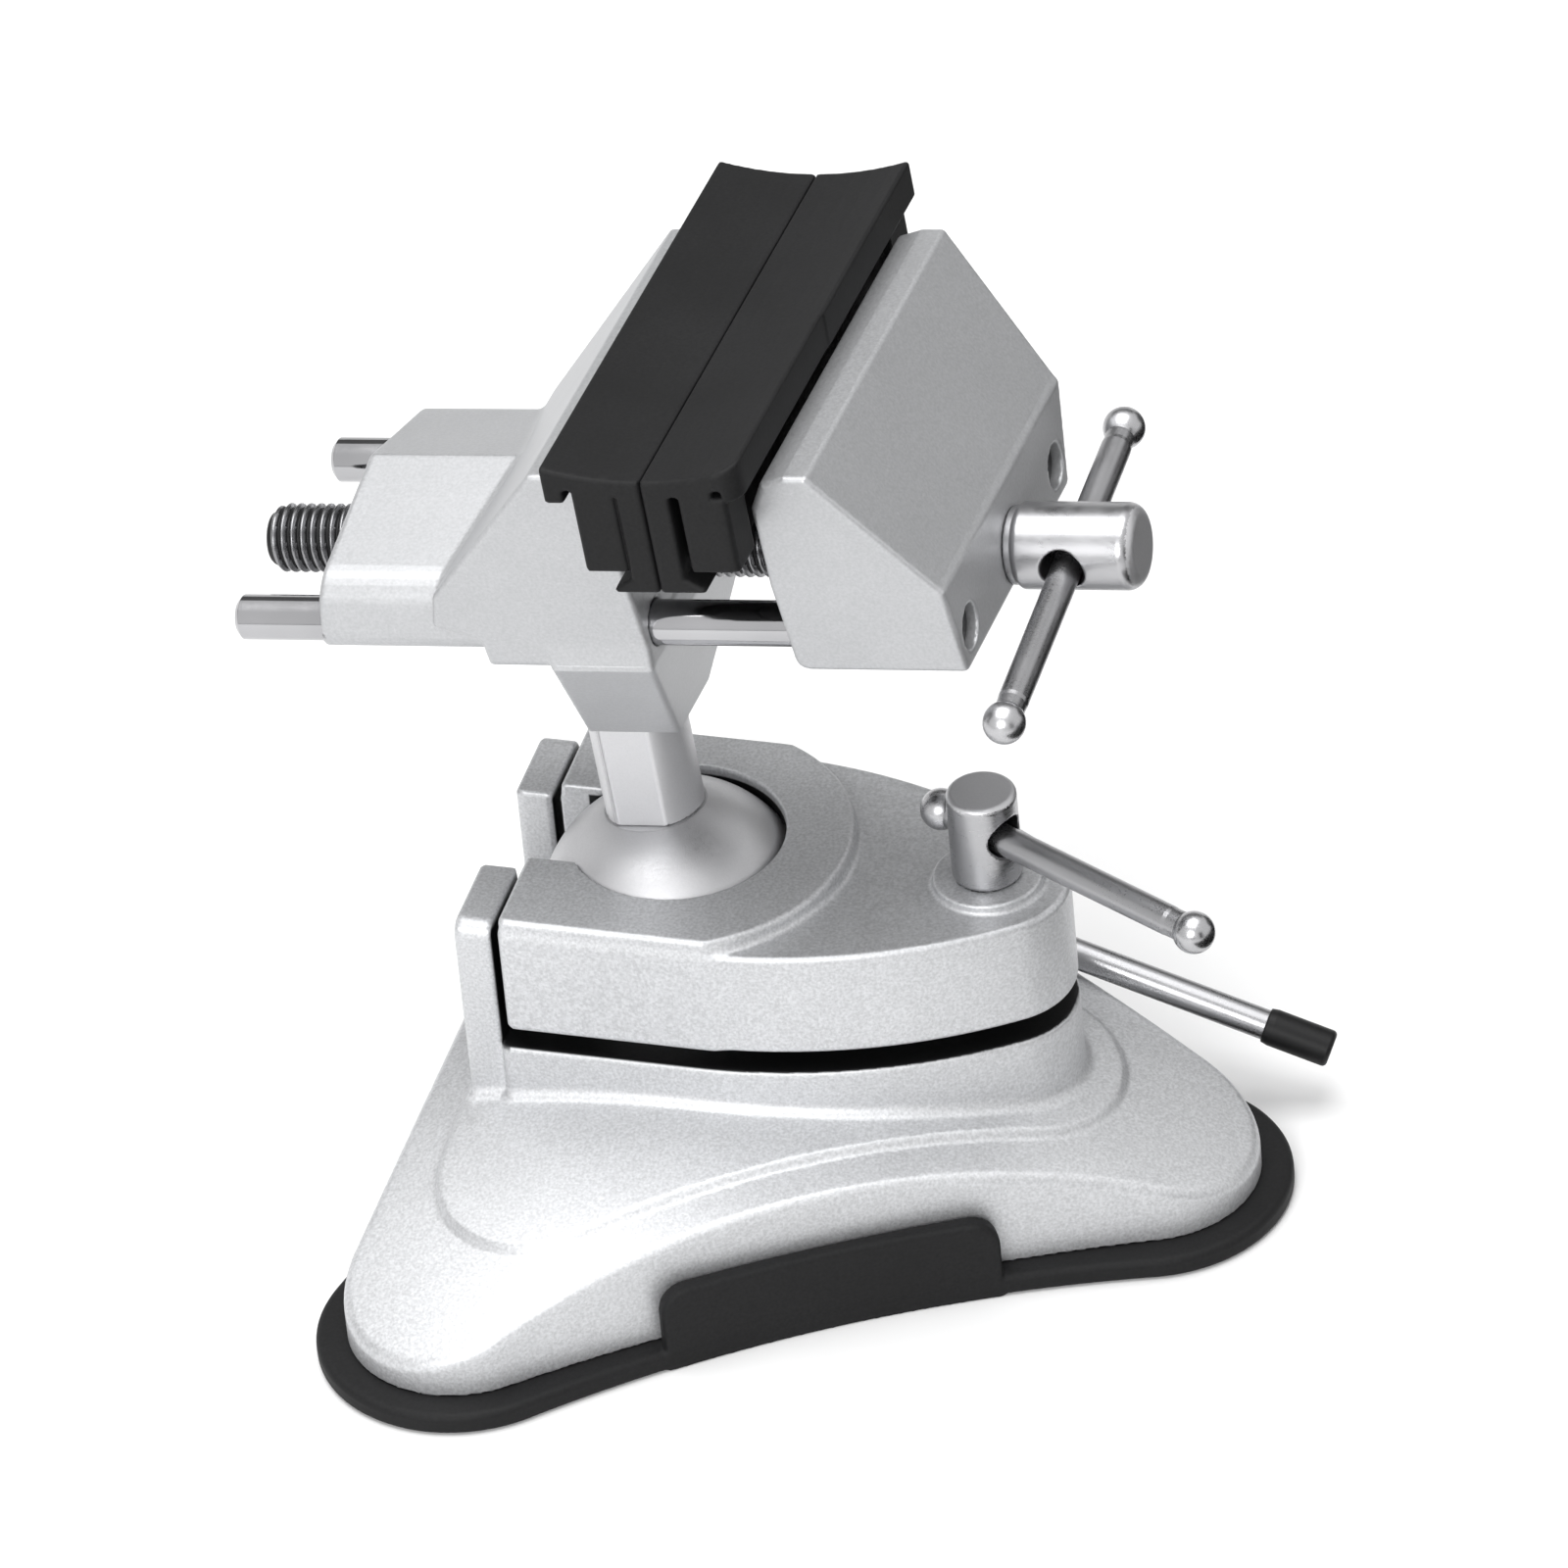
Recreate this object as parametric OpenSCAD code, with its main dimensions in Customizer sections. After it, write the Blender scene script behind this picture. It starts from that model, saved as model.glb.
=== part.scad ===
// Suction base vise: a three-lobed pad and casting, a ball joint under a clamp cap, and two jaws on guide rods
// Millimetres, +Z up. Origin: centre of the pad's resting face. +X runs from the ball towards the clamp screw.
// The head is drawn upright in its own frame, origin at the ball's centre and X along the lead screw, and is then
// tipped to the pose of the rest position.

/* [Suction pad] */
// Distance from the centre to the middle of each corner lobe, for pad and casting
lobe_distance = 58.8; // [56:0.2:62]
// Radius of the rubber pad's lobes
pad_lobe_r = 21.2; // [20:0.1:23]
// Distance from the centre to the middle of a pad side
pad_side = 44.7; // [44:0.1:46]
// Thickness of the rubber pad
pad_t = 3.4; // [2.5:0.1:4.5]
// Width of the pull tab
tab_w = 50; // [30:1:56]
// Height of the pull tab's upper edge above the table
tab_top = 13.5; // [9:0.5:16]
// Radius of the pull tab's upper corners
tab_corner = 4; // [1:0.5:6]
// Radius of the middle of the pad that is drawn up
chamber_r = 20.5; // [19:0.1:21]

/* [Base casting] */
// Radius of the casting's lobes
skirt_lobe_r = 16.6; // [15.6:0.1:17.6]
// Distance from the centre to the middle of a casting side
skirt_side = 41.7; // [41:0.1:42.5]
// Height of the dome's crown above the table
dome_top = 27; // [26:0.2:28]
// Radius of the dome
dome_r = 160; // [140:5:200]
// Wall of the hollow casting
wall = 3.5; // [2.5:0.1:4]
// Height of the terrace above the dome
terrace_t = 1; // [0.6:0.1:1.4]
// Distance from the centre to the middle of each terrace lobe
terrace_distance = 40; // [39:0.5:41]
// Radius of the terrace's lobes
terrace_lobe_r = 16; // [15:0.5:17]
// Distance from the centre to the middle of a terrace side
terrace_side = 35.2; // [34.5:0.1:35.6]

/* [Column and clamp cap] */
// Half of the column's width at the ball
column_half_w = 24; // [23.5:0.1:26]
// Distance from the base's centre to the column's left end
column_left = 29; // [28.8:0.1:30]
// Radius of the column's long sides
column_side_r = 79; // [74:1:90]
// Height of the column's upper face above the table
column_top = 32.8; // [31.5:0.1:33.5]
// Open joint between the column and the clamp cap
cap_gap = 3.45; // [2:0.05:4]
// Height of the cap's low level above the table
cap_top = 53.4; // [50:0.2:56]
// Height of the round plateau above the cap's low level
plateau_t = 2.4; // [1:0.1:3]
// Radius of the plateau about the ball
plateau_r = 26.6; // [25:0.2:28]
// Play between the posts and the cap's left end
cap_end_gap = 1.5; // [1:0.1:2]
// Width of the slot that the neck drops into
slot_w = 17.2; // [16.8:0.1:18]
// Thickness of each post, along X
post_t = 5.5; // [4.5:0.1:6]
// Height of the posts above the table
post_top = 53.7; // [48:0.1:56]
// Distance from the middle plane to the outer side of each post
post_outer = 23.2; // [22:0.1:23.5]
// Radius of the posts' outer upper corners
post_corner = 2.5; // [1:0.5:4]

/* [Ball] */
// Distance from the base's centre to the ball, towards the posts
ball_back = 8.4; // [8:0.1:8.8]
// Height of the ball's centre above the table
ball_h = 41.6; // [41:0.1:42]
// Radius of the ball
ball_r = 20; // [19.6:0.1:20.2]
// Radius of the neck
neck_r = 7.2; // [6.5:0.1:7.4]
// Radius of the neck's spigot in the ball
spigot_r = 4.5; // [4:0.1:5]
// Height of the spigot's end over the ball's underside
spigot_rise = 13.659; // [12:0.001:16]

/* [Clamp screw] */
// Distance from the base's centre to the clamp screw
clamp_x = 38.66; // [38:0.1:40]
// Radius of the clamp screw's thread
clamp_r = 4; // [3:0.1:4.4]
// Depth of the threaded hole in the column
clamp_depth = 16; // [12:0.5:16.5]
// Radius of the clamp screw's head
clamp_head_r = 5.1; // [5:0.1:6]
// Height of the clamp screw's head
clamp_head_h = 14.7; // [13.6:0.1:17]
// Radius of the boss under the head
boss_r = 8; // [7:0.1:9]
// Height of the boss under the head
boss_t = 1.5; // [1:0.1:2]
// Direction of the clamp bar, in degrees from X
clamp_bar_turn = -26.9; // [-40:0.1:-15]
// Length of the clamp bar between the centres of its balls
clamp_bar_l = 47.8; // [40:0.2:49]
// Height of the cross hole above the foot of the head
clamp_hole_h = 8.6; // [7:0.1:10]

/* [Tommy bars] */
// Radius of both tommy bars
bar_r = 2.2; // [1.8:0.1:2.4]
// Radius of the balls on their ends
knob_r = 3.05; // [2.9:0.05:3.4]
// Radius of the cross holes that the bars slide in
cross_hole_r = 3.2; // [3:0.1:3.4]

/* [Lever and cam] */
// Distance from the base's centre to the cam shaft
cam_x = 26; // [25.5:0.1:26.5]
// Height of the cam shaft above the table
cam_h = 27.3; // [27:0.1:27.5]
// Radius of the cam shaft
shaft_r = 3.5; // [3:0.1:3.7]
// Radius of the shaft's outer head, which holds the lever
shaft_head_r = 4; // [3.8:0.1:4.2]
// Distance from the middle plane to the lever
lever_y = 25; // [24.8:0.1:25.4]
// Slope of the lever below the horizontal, in degrees
lever_slope = 18.7; // [15:0.1:19]
// Length of the lever from the shaft's axis to its end
lever_l = 57.5; // [50:0.5:60]
// Radius of the lever's rod
lever_r = 2.25; // [1.8:0.05:2.4]
// Length of the lever's rubber grip
grip_l = 10.2; // [8:0.2:20]
// Radius of the lever's rubber grip
grip_r = 2.75; // [2.6:0.05:3.2]
// Offset of the crank pin from the shaft's axis
cam_throw = 1.8; // [1.4:0.1:1.9]
// Length of the crank pin
cam_w = 7; // [6:0.5:8]
// Swing of the lever, in degrees
lever_swing = 108; // [90:1:110]
// Radius of the steel plate on the pad
plate_r = 15; // [12:0.5:17]
// Thickness of the steel plate
plate_t = 2; // [1.5:0.1:2.5]
// Radius of the lifting stud
stud_r = 3; // [2.5:0.1:3.5]

/* [Jaws] */
// Lean of the head about X, in degrees
head_roll = -3.71; // [-5:0.01:5]
// Lean of the head about Y, in degrees
head_pitch = -6.84; // [-8:0.01:8]
// Turn of the head about Z, in degrees
head_yaw = -0.9; // [-3:0.01:3]
// Height of the guide rods above the ball's centre
rail_h = 62.9; // [61:0.1:64]
// Height of the jaws' top above the guide rods
jaw_rise = 31.5; // [28:0.5:35]
// Depth of the jaws' underside below the guide rods
jaw_drop = 5.3; // [5.1:0.1:5.9]
// Half of the jaws' width at the top
jaw_half_w = 34; // [33:0.2:40]
// Inward slope of the jaws' ends, per unit of height
jaw_draft_share = 0.24; // [0.2:0.01:0.25]
// Distance from the neck's axis to the fixed jaw's face
fixed_face = 15.4; // [15:0.1:17]
// Depth of the moving jaw, from its face to its outer side
moving_depth = 25.3; // [24:0.1:28]
// Thickness of each rubber jaw pad between jaw and seam
facing_t = 10.6; // [10:0.1:12]
// Half of the rubber jaw pads' length
facing_half_l = 42; // [38:0.5:46]

/* [Rods and lead screw] */
// Radius of the guide rods
rod_r = 3.25; // [3:0.05:3.3]
// Distance from the middle plane to each guide rod
rod_v = 21.2; // [20.5:0.1:21.3]
// Length of the guide rods
rod_l = 109.2; // [100:0.2:112]
// Radius of the lead screw's thread
screw_r = 4.95; // [4.5:0.05:5.2]
// Pitch of the lead screw's thread
screw_pitch = 1.5; // [1.25:0.25:2]
// Length of the lead screw from its left end to its head
screw_l = 111.4; // [106:0.2:113]
// Radius of the lead screw's head
screw_head_r = 6.2; // [5.8:0.1:6.6]
// Length of the lead screw's head
screw_head_l = 19; // [16:0.2:22]
// Distance from the inner end of the head to its cross hole
screw_hole_u = 8.7; // [7.5:0.1:9.5]
// Length of the screw's bar between the centres of its balls
screw_bar_l = 65.2; // [55:0.2:70]
// How far the screw's bar is slid to the front
screw_bar_slip = 5; // [0:0.5:10]
// Slope of the screw's bar, in degrees
screw_bar_slope = 7; // [0:0.5:10]

/* [Hidden] */

// Running fit, loose fit and the overrun of every cut
fit = 0.05;
loose = 0.3;
over = 1;
// Facets: fine for the long outlines and the ball, plain for everything else that is round
fine = 180;
plain = 72;

cap_bottom = column_top + cap_gap;
lift = 2 * cam_throw * sin(lever_swing / 2);
jaw_top = rail_h + jaw_rise;
jaw_floor = rail_h - jaw_drop;

// A rounded triangle: three lobes joined by hollow sides. The side's circle touches both lobes.
module lobed(distance, lobe_r, side) {
    bow = lobe_r - side;
    centre = (distance * distance - bow * bow) / (distance + 2 * bow);
    side_r = centre - side;
    c = [for (k = [0:2]) distance * [cos(120 * k), sin(120 * k)]];
    s = [for (k = [0:2]) centre * [cos(120 * k + 60), sin(120 * k + 60)]];
    touch = function(lobe, from) lobe + lobe_r * (from - lobe) / norm(from - lobe);
    for (p = c) translate(p) circle(lobe_r, $fn = plain);
    difference() {
        polygon([for (k = [0:2]) each [c[k], touch(c[k], s[k]), touch(c[(k + 1) % 3], s[k])]]);
        for (p = s) translate(p) circle(side_r, $fn = fine);
    }
}

module pad_outline() {
    lobed(lobe_distance, pad_lobe_r, pad_side);
}

module skirt_outline(inset = 0) {
    lobed(lobe_distance, skirt_lobe_r - inset, skirt_side - inset);
}

// A ball of the dome's centre, grown or shrunk
module dome(extra = 0) {
    translate([0, 0, dome_top - dome_r]) sphere(dome_r + extra, $fn = fine);
}

// A drop-shaped outline: straight beside the ball, bowed towards a round end at the clamp screw
module drop_outline(left) {
    centre_y = column_side_r - column_half_w;
    reach = norm([clamp_x, centre_y]);
    end_r = column_side_r - reach;
    end_x = clamp_x + end_r * clamp_x / reach;
    translate([-left, -column_half_w]) square([left, 2 * column_half_w]);
    intersection() {
        translate([0, centre_y]) circle(column_side_r, $fn = fine);
        translate([0, -centre_y]) circle(column_side_r, $fn = fine);
        translate([0, -column_half_w]) square([end_x, 2 * column_half_w]);
    }
    translate([clamp_x, 0]) circle(end_r, $fn = plain);
}

// A plate with two round upper corners, standing on the X axis
module arched(w, h, r) {
    translate([-w / 2, 0]) square([w, h - r]);
    translate([-w / 2 + r, 0]) square([w - 2 * r, h]);
    for (s = [-1, 1]) translate([s * (w / 2 - r), h - r]) circle(r, $fn = plain);
}

// Places children at the ball, or in the head's frame
module at_ball() {
    translate([-ball_back, 0, ball_h]) children();
}

module in_head() {
    at_ball() rotate([head_roll, head_pitch, head_yaw]) children();
}

// A shaft along X in the head, from u0 to u1
module along_u(u0, u1, r, v = 0, w = rail_h) {
    translate([u0, v, w]) rotate([0, 90, 0]) cylinder(r = r, h = u1 - u0, $fn = plain);
}

// Extrudes an outline drawn in length and height across the middle plane
module across(half) {
    translate([0, half, 0]) rotate([90, 0, 0]) linear_extrude(2 * half) children();
}

// Suction pad: a flat rubber sheet with its middle drawn up, and a tab to peel it off the table
stud_x = cam_x - cam_throw * (1 + cos(lever_swing / 2)) / 2;
plate_z = pad_t + lift;

module lifted(extra) {
    translate([stud_x, 0, 0]) rotate_extrude($fn = plain) polygon([
        [0, 0], [chamber_r, 0], [chamber_r, extra], [plate_r, lift + extra], [0, lift + extra]
    ]);
}

module suction_pad() {
    color([0.13, 0.13, 0.13]) {
        difference() {
            union() {
                linear_extrude(pad_t) pad_outline();
                lifted(pad_t);
            }
            lifted(0);
            translate([stud_x, 0, -over]) cylinder(r = chamber_r, h = over + fit, $fn = plain);
            nut_pocket();
        }
        intersection() {
            linear_extrude(tab_top) difference() {
                pad_outline();
                skirt_outline(-loose);
            }
            rotate([90, 0, 30]) linear_extrude(lobe_distance) arched(tab_w, tab_top, tab_corner);
        }
    }
}

// Pocket for the nut and the end of the stud
nut_r = 6.3;
nut_t = 1.5;

module nut_pocket() {
    translate([stud_x, 0, plate_z - nut_t - loose]) cylinder(r = nut_r + loose, h = nut_t + over, $fn = plain);
}

// Base casting: hollow domed shell with a terrace, the lower half of the ball's seat, posts and bosses
skirt_h = dome_top / 2;
seat_boss_r = 15;
seat_floor = 4;
clamp_boss_r = clamp_r + wall;
cam_boss_r = shaft_r + wall;
shaft_seat = 6;
shaft_head_l = 5.5;
shaft_head_y = lever_y - shaft_head_l / 2;

module base_casting() {
    color([0.78, 0.78, 0.78]) difference() {
        union() {
            intersection() {
                translate([0, 0, pad_t]) linear_extrude(dome_top) skirt_outline();
                dome();
            }
            intersection() {
                translate([0, 0, skirt_h]) linear_extrude(dome_top) {
                    lobed(terrace_distance, terrace_lobe_r, terrace_side);
                }
                dome(terrace_t);
            }
            translate([0, 0, skirt_h]) linear_extrude(column_top - skirt_h) drop_outline(column_left);
            posts();
            cam_boss(cam_boss_r, shaft_head_y - fit, skirt_h);
        }
        hollow();
        at_ball() sphere(ball_r + fit, $fn = fine);
        translate([clamp_x, 0, column_top - clamp_depth]) {
            cylinder(r = clamp_r + fit, h = clamp_depth + over, $fn = plain);
        }
        shaft_bore();
        cam_chamber();
    }
}

module posts() {
    width = post_outer - slot_w / 2;
    translate([-column_left - post_t, 0, 0]) for (side = [0, 1]) mirror([0, side, 0]) {
        translate([0, slot_w / 2, skirt_h]) cube([post_t, width, post_top - post_corner - skirt_h]);
        translate([0, slot_w / 2, skirt_h]) cube([post_t, width - post_corner, post_top - skirt_h]);
        translate([0, post_outer - post_corner, post_top - post_corner]) rotate([0, 90, 0]) {
            cylinder(r = post_corner, h = post_t, $fn = plain);
        }
    }
    translate([-column_left - post_t, -slot_w / 2 - over, skirt_h]) {
        cube([post_t + over, slot_w + 2 * over, column_top - skirt_h]);
    }
}

// A boss along Y at the cam shaft that ends at y, over the terrace only
module cam_boss(r, y, z0) {
    intersection() {
        translate([cam_x, 0, cam_h]) rotate([-90, 0, 0]) cylinder(r = r, h = y, $fn = plain);
        translate([cam_x - r, 0, z0]) cube([2 * r, y, column_top - z0]);
    }
}

// The inside of the shell, less the bosses that reach down into it
module hollow() {
    difference() {
        intersection() {
            linear_extrude(column_top) skirt_outline(wall);
            dome(-wall);
        }
        translate([-ball_back, 0, ball_h - ball_r - seat_floor]) {
            cylinder(r = seat_boss_r, h = ball_r, $fn = plain);
        }
        translate([clamp_x, 0, column_top - clamp_depth - wall]) {
            cylinder(r = clamp_boss_r, h = clamp_depth, $fn = plain);
        }
    }
}

// The chamber that the crank and the stud's hook work in, open through the column's upper face
cam_room_half = 7;

module cam_chamber() {
    room_left = stud_x - hook_half_l - cam_throw;
    room_right = cam_x + shaft_clip_r + loose;
    translate([room_left, -cam_room_half, skirt_h]) {
        cube([room_right - room_left, 2 * cam_room_half, column_top]);
    }
}

// The shaft runs from the blind front wall to its head behind the column, in a pocket that clears the lever
module shaft_bore() {
    translate([cam_x, -cam_room_half - shaft_seat, cam_h]) rotate([-90, 0, 0]) {
        cylinder(r = shaft_r + fit, h = 2 * lever_y, $fn = plain);
    }
    translate([cam_x, shaft_head_y - fit, cam_h]) rotate([-90, 0, 0]) {
        cylinder(r = shaft_head_r + loose, h = shaft_head_l + over, $fn = plain);
    }
}

// Pressure plate: steel disc bonded to the raised middle of the pad
module pressure_plate() {
    color([0.6, 0.6, 0.62]) translate([stud_x, 0, plate_z]) difference() {
        cylinder(r = plate_r, h = plate_t, $fn = plain);
        translate([0, 0, -over]) cylinder(r = stud_r + fit, h = plate_t + 2 * over, $fn = plain);
    }
}

// Lifting stud: rises from the plate and ends in a flat hook with a level slot around the crank pin
hook_wall = 1.5;
hook_play = 0.2;
hook_t = 4;
pin_r = shaft_r - cam_throw - fit;
pin_run = cam_throw * (1 - cos(lever_swing / 2));
pin_rise = cam_throw * sin(lever_swing / 2);
hook_slot_r = pin_r + hook_play;
hook_half_l = pin_run / 2 + hook_slot_r + hook_wall;

module lift_stud() {
    pin_h = cam_h + pin_rise;
    hook_half_h = hook_slot_r + hook_wall;
    color([0.6, 0.6, 0.62]) {
        translate([stud_x, 0, plate_z - nut_t]) {
            cylinder(r = stud_r, h = pin_h - hook_half_h - plate_z + nut_t + hook_wall / 2, $fn = plain);
        }
        translate([stud_x, 0, pin_h]) rotate([90, 0, 0]) linear_extrude(hook_t, center = true) difference() {
            square([2 * hook_half_l, 2 * hook_half_h], center = true);
            translate([pin_run / 2, 0]) circle(hook_slot_r, $fn = plain);
            translate([-hook_half_l - over, -hook_slot_r]) {
                square([hook_half_l + over + pin_run / 2, 2 * hook_slot_r]);
            }
        }
    }
}

// Nut under the plate
module stud_nut() {
    color([0.6, 0.6, 0.62]) translate([stud_x, 0, plate_z - nut_t]) difference() {
        cylinder(r = nut_r, h = nut_t, $fn = 6);
        translate([0, 0, -over]) cylinder(r = stud_r + fit, h = nut_t + 2 * over, $fn = plain);
    }
}

// Cam shaft: plain shaft with a crank pin cut in its middle and a round head outside that takes the lever
groove_w = 1;
shaft_clip_r = 4.7;

module cam_shaft() {
    start = -cam_room_half - shaft_seat + fit;
    color([0.6, 0.6, 0.62]) difference() {
        union() {
            shaft_piece(start, -cam_w / 2, shaft_r);
            shaft_piece(cam_w / 2, shaft_head_y, shaft_r);
            shaft_piece(shaft_head_y, shaft_head_y + shaft_head_l, shaft_head_r);
            rotate_about_shaft(lever_swing / 2 - 180) translate([cam_throw, 0, 0]) {
                rotate([90, 0, 0]) cylinder(r = pin_r, h = cam_w + over, center = true, $fn = plain);
            }
        }
        translate([cam_x, 0, cam_h]) clip_groove();
        lever_bore();
    }
}

module shaft_piece(y0, y1, r) {
    translate([cam_x, y0, cam_h]) rotate([-90, 0, 0]) cylinder(r = r, h = y1 - y0, $fn = plain);
}

module rotate_about_shaft(angle) {
    translate([cam_x, 0, cam_h]) rotate([0, angle, 0]) children();
}

// The groove for the clip, just inside the rear bearing
clip_y = cam_room_half - groove_w - loose;

module clip_groove() {
    translate([0, clip_y, 0]) rotate([-90, 0, 0]) difference() {
        cylinder(r = shaft_r + over, h = groove_w, $fn = plain);
        translate([0, 0, -over]) cylinder(r = shaft_r - groove_w / 2, h = groove_w + 2 * over, $fn = plain);
    }
}

module in_lever() {
    translate([cam_x, lever_y, cam_h]) rotate([0, 90 + lever_slope, 0]) children();
}

// The lever's rod is screwed into a blind hole in the shaft's head
lever_root = 1.2;

module lever_bore() {
    in_lever() translate([0, 0, -lever_root]) cylinder(r = lever_r - loose, h = lever_l, $fn = plain);
}

// Clip that keeps the shaft in the casting
module shaft_clip() {
    color([0.35, 0.35, 0.37]) translate([cam_x, clip_y + fit, cam_h]) rotate([-90, 0, 0]) difference() {
        cylinder(r = shaft_clip_r, h = groove_w - 2 * fit, $fn = plain);
        translate([0, 0, -over]) linear_extrude(groove_w + 2 * over) {
            circle(shaft_r - groove_w / 2 + fit, $fn = plain);
            translate([-shaft_r + groove_w, 0]) square([2 * (shaft_r - groove_w), 3 * shaft_r]);
        }
    }
}

// Lever: straight steel rod with a thinner threaded root and a pushed-on rubber grip
module lever_rod() {
    color([0.7, 0.7, 0.72]) in_lever() {
        translate([0, 0, fit - lever_root]) {
            cylinder(r = lever_r - loose - fit, h = shaft_head_r + lever_root, $fn = plain);
        }
        translate([0, 0, shaft_head_r + fit]) {
            cylinder(r = lever_r, h = lever_l - grip_l - shaft_head_r - fit, $fn = plain);
        }
        translate([0, 0, lever_l - grip_l]) cylinder(r = lever_r - loose, h = grip_l - 2 * over, $fn = plain);
    }
}

module lever_grip() {
    color([0.1, 0.1, 0.1]) in_lever() translate([0, 0, lever_l - grip_l]) difference() {
        cylinder(r = grip_r, h = grip_l, $fn = plain);
        translate([0, 0, -over]) cylinder(r = lever_r - loose + fit, h = grip_l - over + fit, $fn = plain);
    }
}

// Clamp cap: the upper half of the ball's seat, slotted towards the posts
module clamp_cap() {
    cap_left = column_left - cap_end_gap;
    color([0.78, 0.78, 0.78]) difference() {
        union() {
            translate([0, 0, cap_bottom]) linear_extrude(cap_top - cap_bottom) drop_outline(cap_left);
            translate([0, 0, cap_bottom]) linear_extrude(cap_top + plateau_t - cap_bottom) intersection() {
                drop_outline(cap_left);
                union() {
                    translate([-ball_back, 0]) circle(plateau_r, $fn = fine);
                    translate([-cap_left, -column_half_w]) square([cap_left - ball_back, 2 * column_half_w]);
                }
            }
            translate([clamp_x, 0, cap_bottom]) cylinder(r = boss_r, h = clamp_seat - cap_bottom, $fn = plain);
        }
        at_ball() sphere(ball_r + fit, $fn = fine);
        translate([-ball_back, 0, cap_bottom - over]) {
            cylinder(r = ball_r + fit, h = ball_h - cap_bottom + over, $fn = plain);
        }
        translate([-cap_left - over, -slot_w / 2, cap_bottom - over]) {
            cube([cap_left - ball_back + over, slot_w, cap_top - cap_bottom + 3 * over + plateau_t]);
        }
        translate([clamp_x, 0, cap_bottom - over]) {
            cylinder(r = clamp_r + loose, h = clamp_seat - cap_bottom + 2 * over, $fn = plain);
        }
    }
}

// Clamp screw: round head with a cross hole, standing on the cap's boss
head_edge = 0.8;
clamp_seat = cap_top + boss_t;

module clamp_screw() {
    end_z = column_top - clamp_depth + 2 * over;
    color([0.7, 0.7, 0.72]) difference() {
        translate([clamp_x, 0, 0]) rotate_extrude($fn = plain) polygon([
            [0, end_z], [clamp_r - head_edge, end_z], [clamp_r, end_z + head_edge], [clamp_r, clamp_seat + fit],
            [clamp_head_r, clamp_seat + fit], [clamp_head_r, clamp_seat + clamp_head_h - head_edge],
            [clamp_head_r - head_edge, clamp_seat + clamp_head_h], [0, clamp_seat + clamp_head_h]
        ]);
        in_clamp_hole() translate([0, 0, -clamp_head_r - over]) {
            cylinder(r = cross_hole_r, h = 2 * clamp_head_r + 2 * over, $fn = plain);
        }
    }
}

module in_clamp_hole() {
    translate([clamp_x, 0, clamp_seat + clamp_hole_h]) rotate([0, 90, clamp_bar_turn]) children();
}

// The bars lie on the floor of their cross holes
bar_drop = cross_hole_r - bar_r - fit;
knob_hole = knob_r / 2;

// A tommy bar along Z with a ball on each end, one of them at z0
module bar(z0, length) {
    translate([0, 0, z0 - knob_hole + fit]) {
        cylinder(r = bar_r - loose, h = length + 2 * knob_hole - 2 * fit, $fn = plain);
    }
    translate([0, 0, z0 + knob_r]) cylinder(r = bar_r, h = length - 2 * knob_r, $fn = plain);
}

module knobs(z0, length) {
    for (end = [0, 1]) translate([0, 0, z0 + end * length]) mirror([0, 0, end]) difference() {
        sphere(knob_r, $fn = plain);
        translate([0, 0, -knob_hole]) cylinder(r = bar_r - loose + fit, h = 2 * knob_r, $fn = plain);
        translate([0, 0, knob_r - fit]) cylinder(r = bar_r, h = knob_r, $fn = plain);
    }
}

clamp_bar_start = -(clamp_head_r + knob_r + fit);

module clamp_bar() {
    color([0.7, 0.7, 0.72]) in_clamp_hole() translate([bar_drop, 0, 0]) bar(clamp_bar_start, clamp_bar_l);
}

module clamp_bar_balls() {
    color([0.75, 0.75, 0.77]) in_clamp_hole() translate([bar_drop, 0, 0]) knobs(clamp_bar_start, clamp_bar_l);
}

// Ball: turned steel ball, bored for the neck's spigot and counterbored for its screw
ball_screw_r = 2.5;
ball_screw_head_r = 4.25;
ball_screw_head_h = 3;
socket_r = 2.3;
neck_foot = sqrt(ball_r * ball_r - neck_r * neck_r);
spigot_end = spigot_rise - ball_r;
spigot_l = neck_foot - spigot_end;
ball_floor = 7;
ball_counter = spigot_end - ball_floor;

module ball() {
    color([0.82, 0.82, 0.84]) in_head() difference() {
        sphere(ball_r, $fn = fine);
        translate([0, 0, neck_foot]) cylinder(r = neck_r + loose, h = ball_r, $fn = plain);
        translate([0, 0, spigot_end - fit]) cylinder(r = spigot_r + fit, h = spigot_l + over, $fn = plain);
        translate([0, 0, -ball_r]) cylinder(r = ball_screw_r + loose, h = ball_r, $fn = plain);
        translate([0, 0, -ball_r - over]) {
            cylinder(r = ball_screw_head_r + loose, h = ball_counter + ball_r + over, $fn = plain);
        }
    }
}

// Screw that holds the ball on the spigot
module ball_screw() {
    shank = spigot_end - ball_counter + spigot_l / 2;
    color([0.3, 0.3, 0.32]) in_head() translate([0, 0, ball_counter - fit]) difference() {
        union() {
            translate([0, 0, -ball_screw_head_h]) {
                cylinder(r = ball_screw_head_r, h = ball_screw_head_h, $fn = plain);
            }
            cylinder(r = ball_screw_r, h = shank, $fn = plain);
        }
        translate([0, 0, -ball_screw_head_h - over]) {
            cylinder(r = socket_r, h = ball_screw_head_h, $fn = 6);
        }
    }
}

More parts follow.
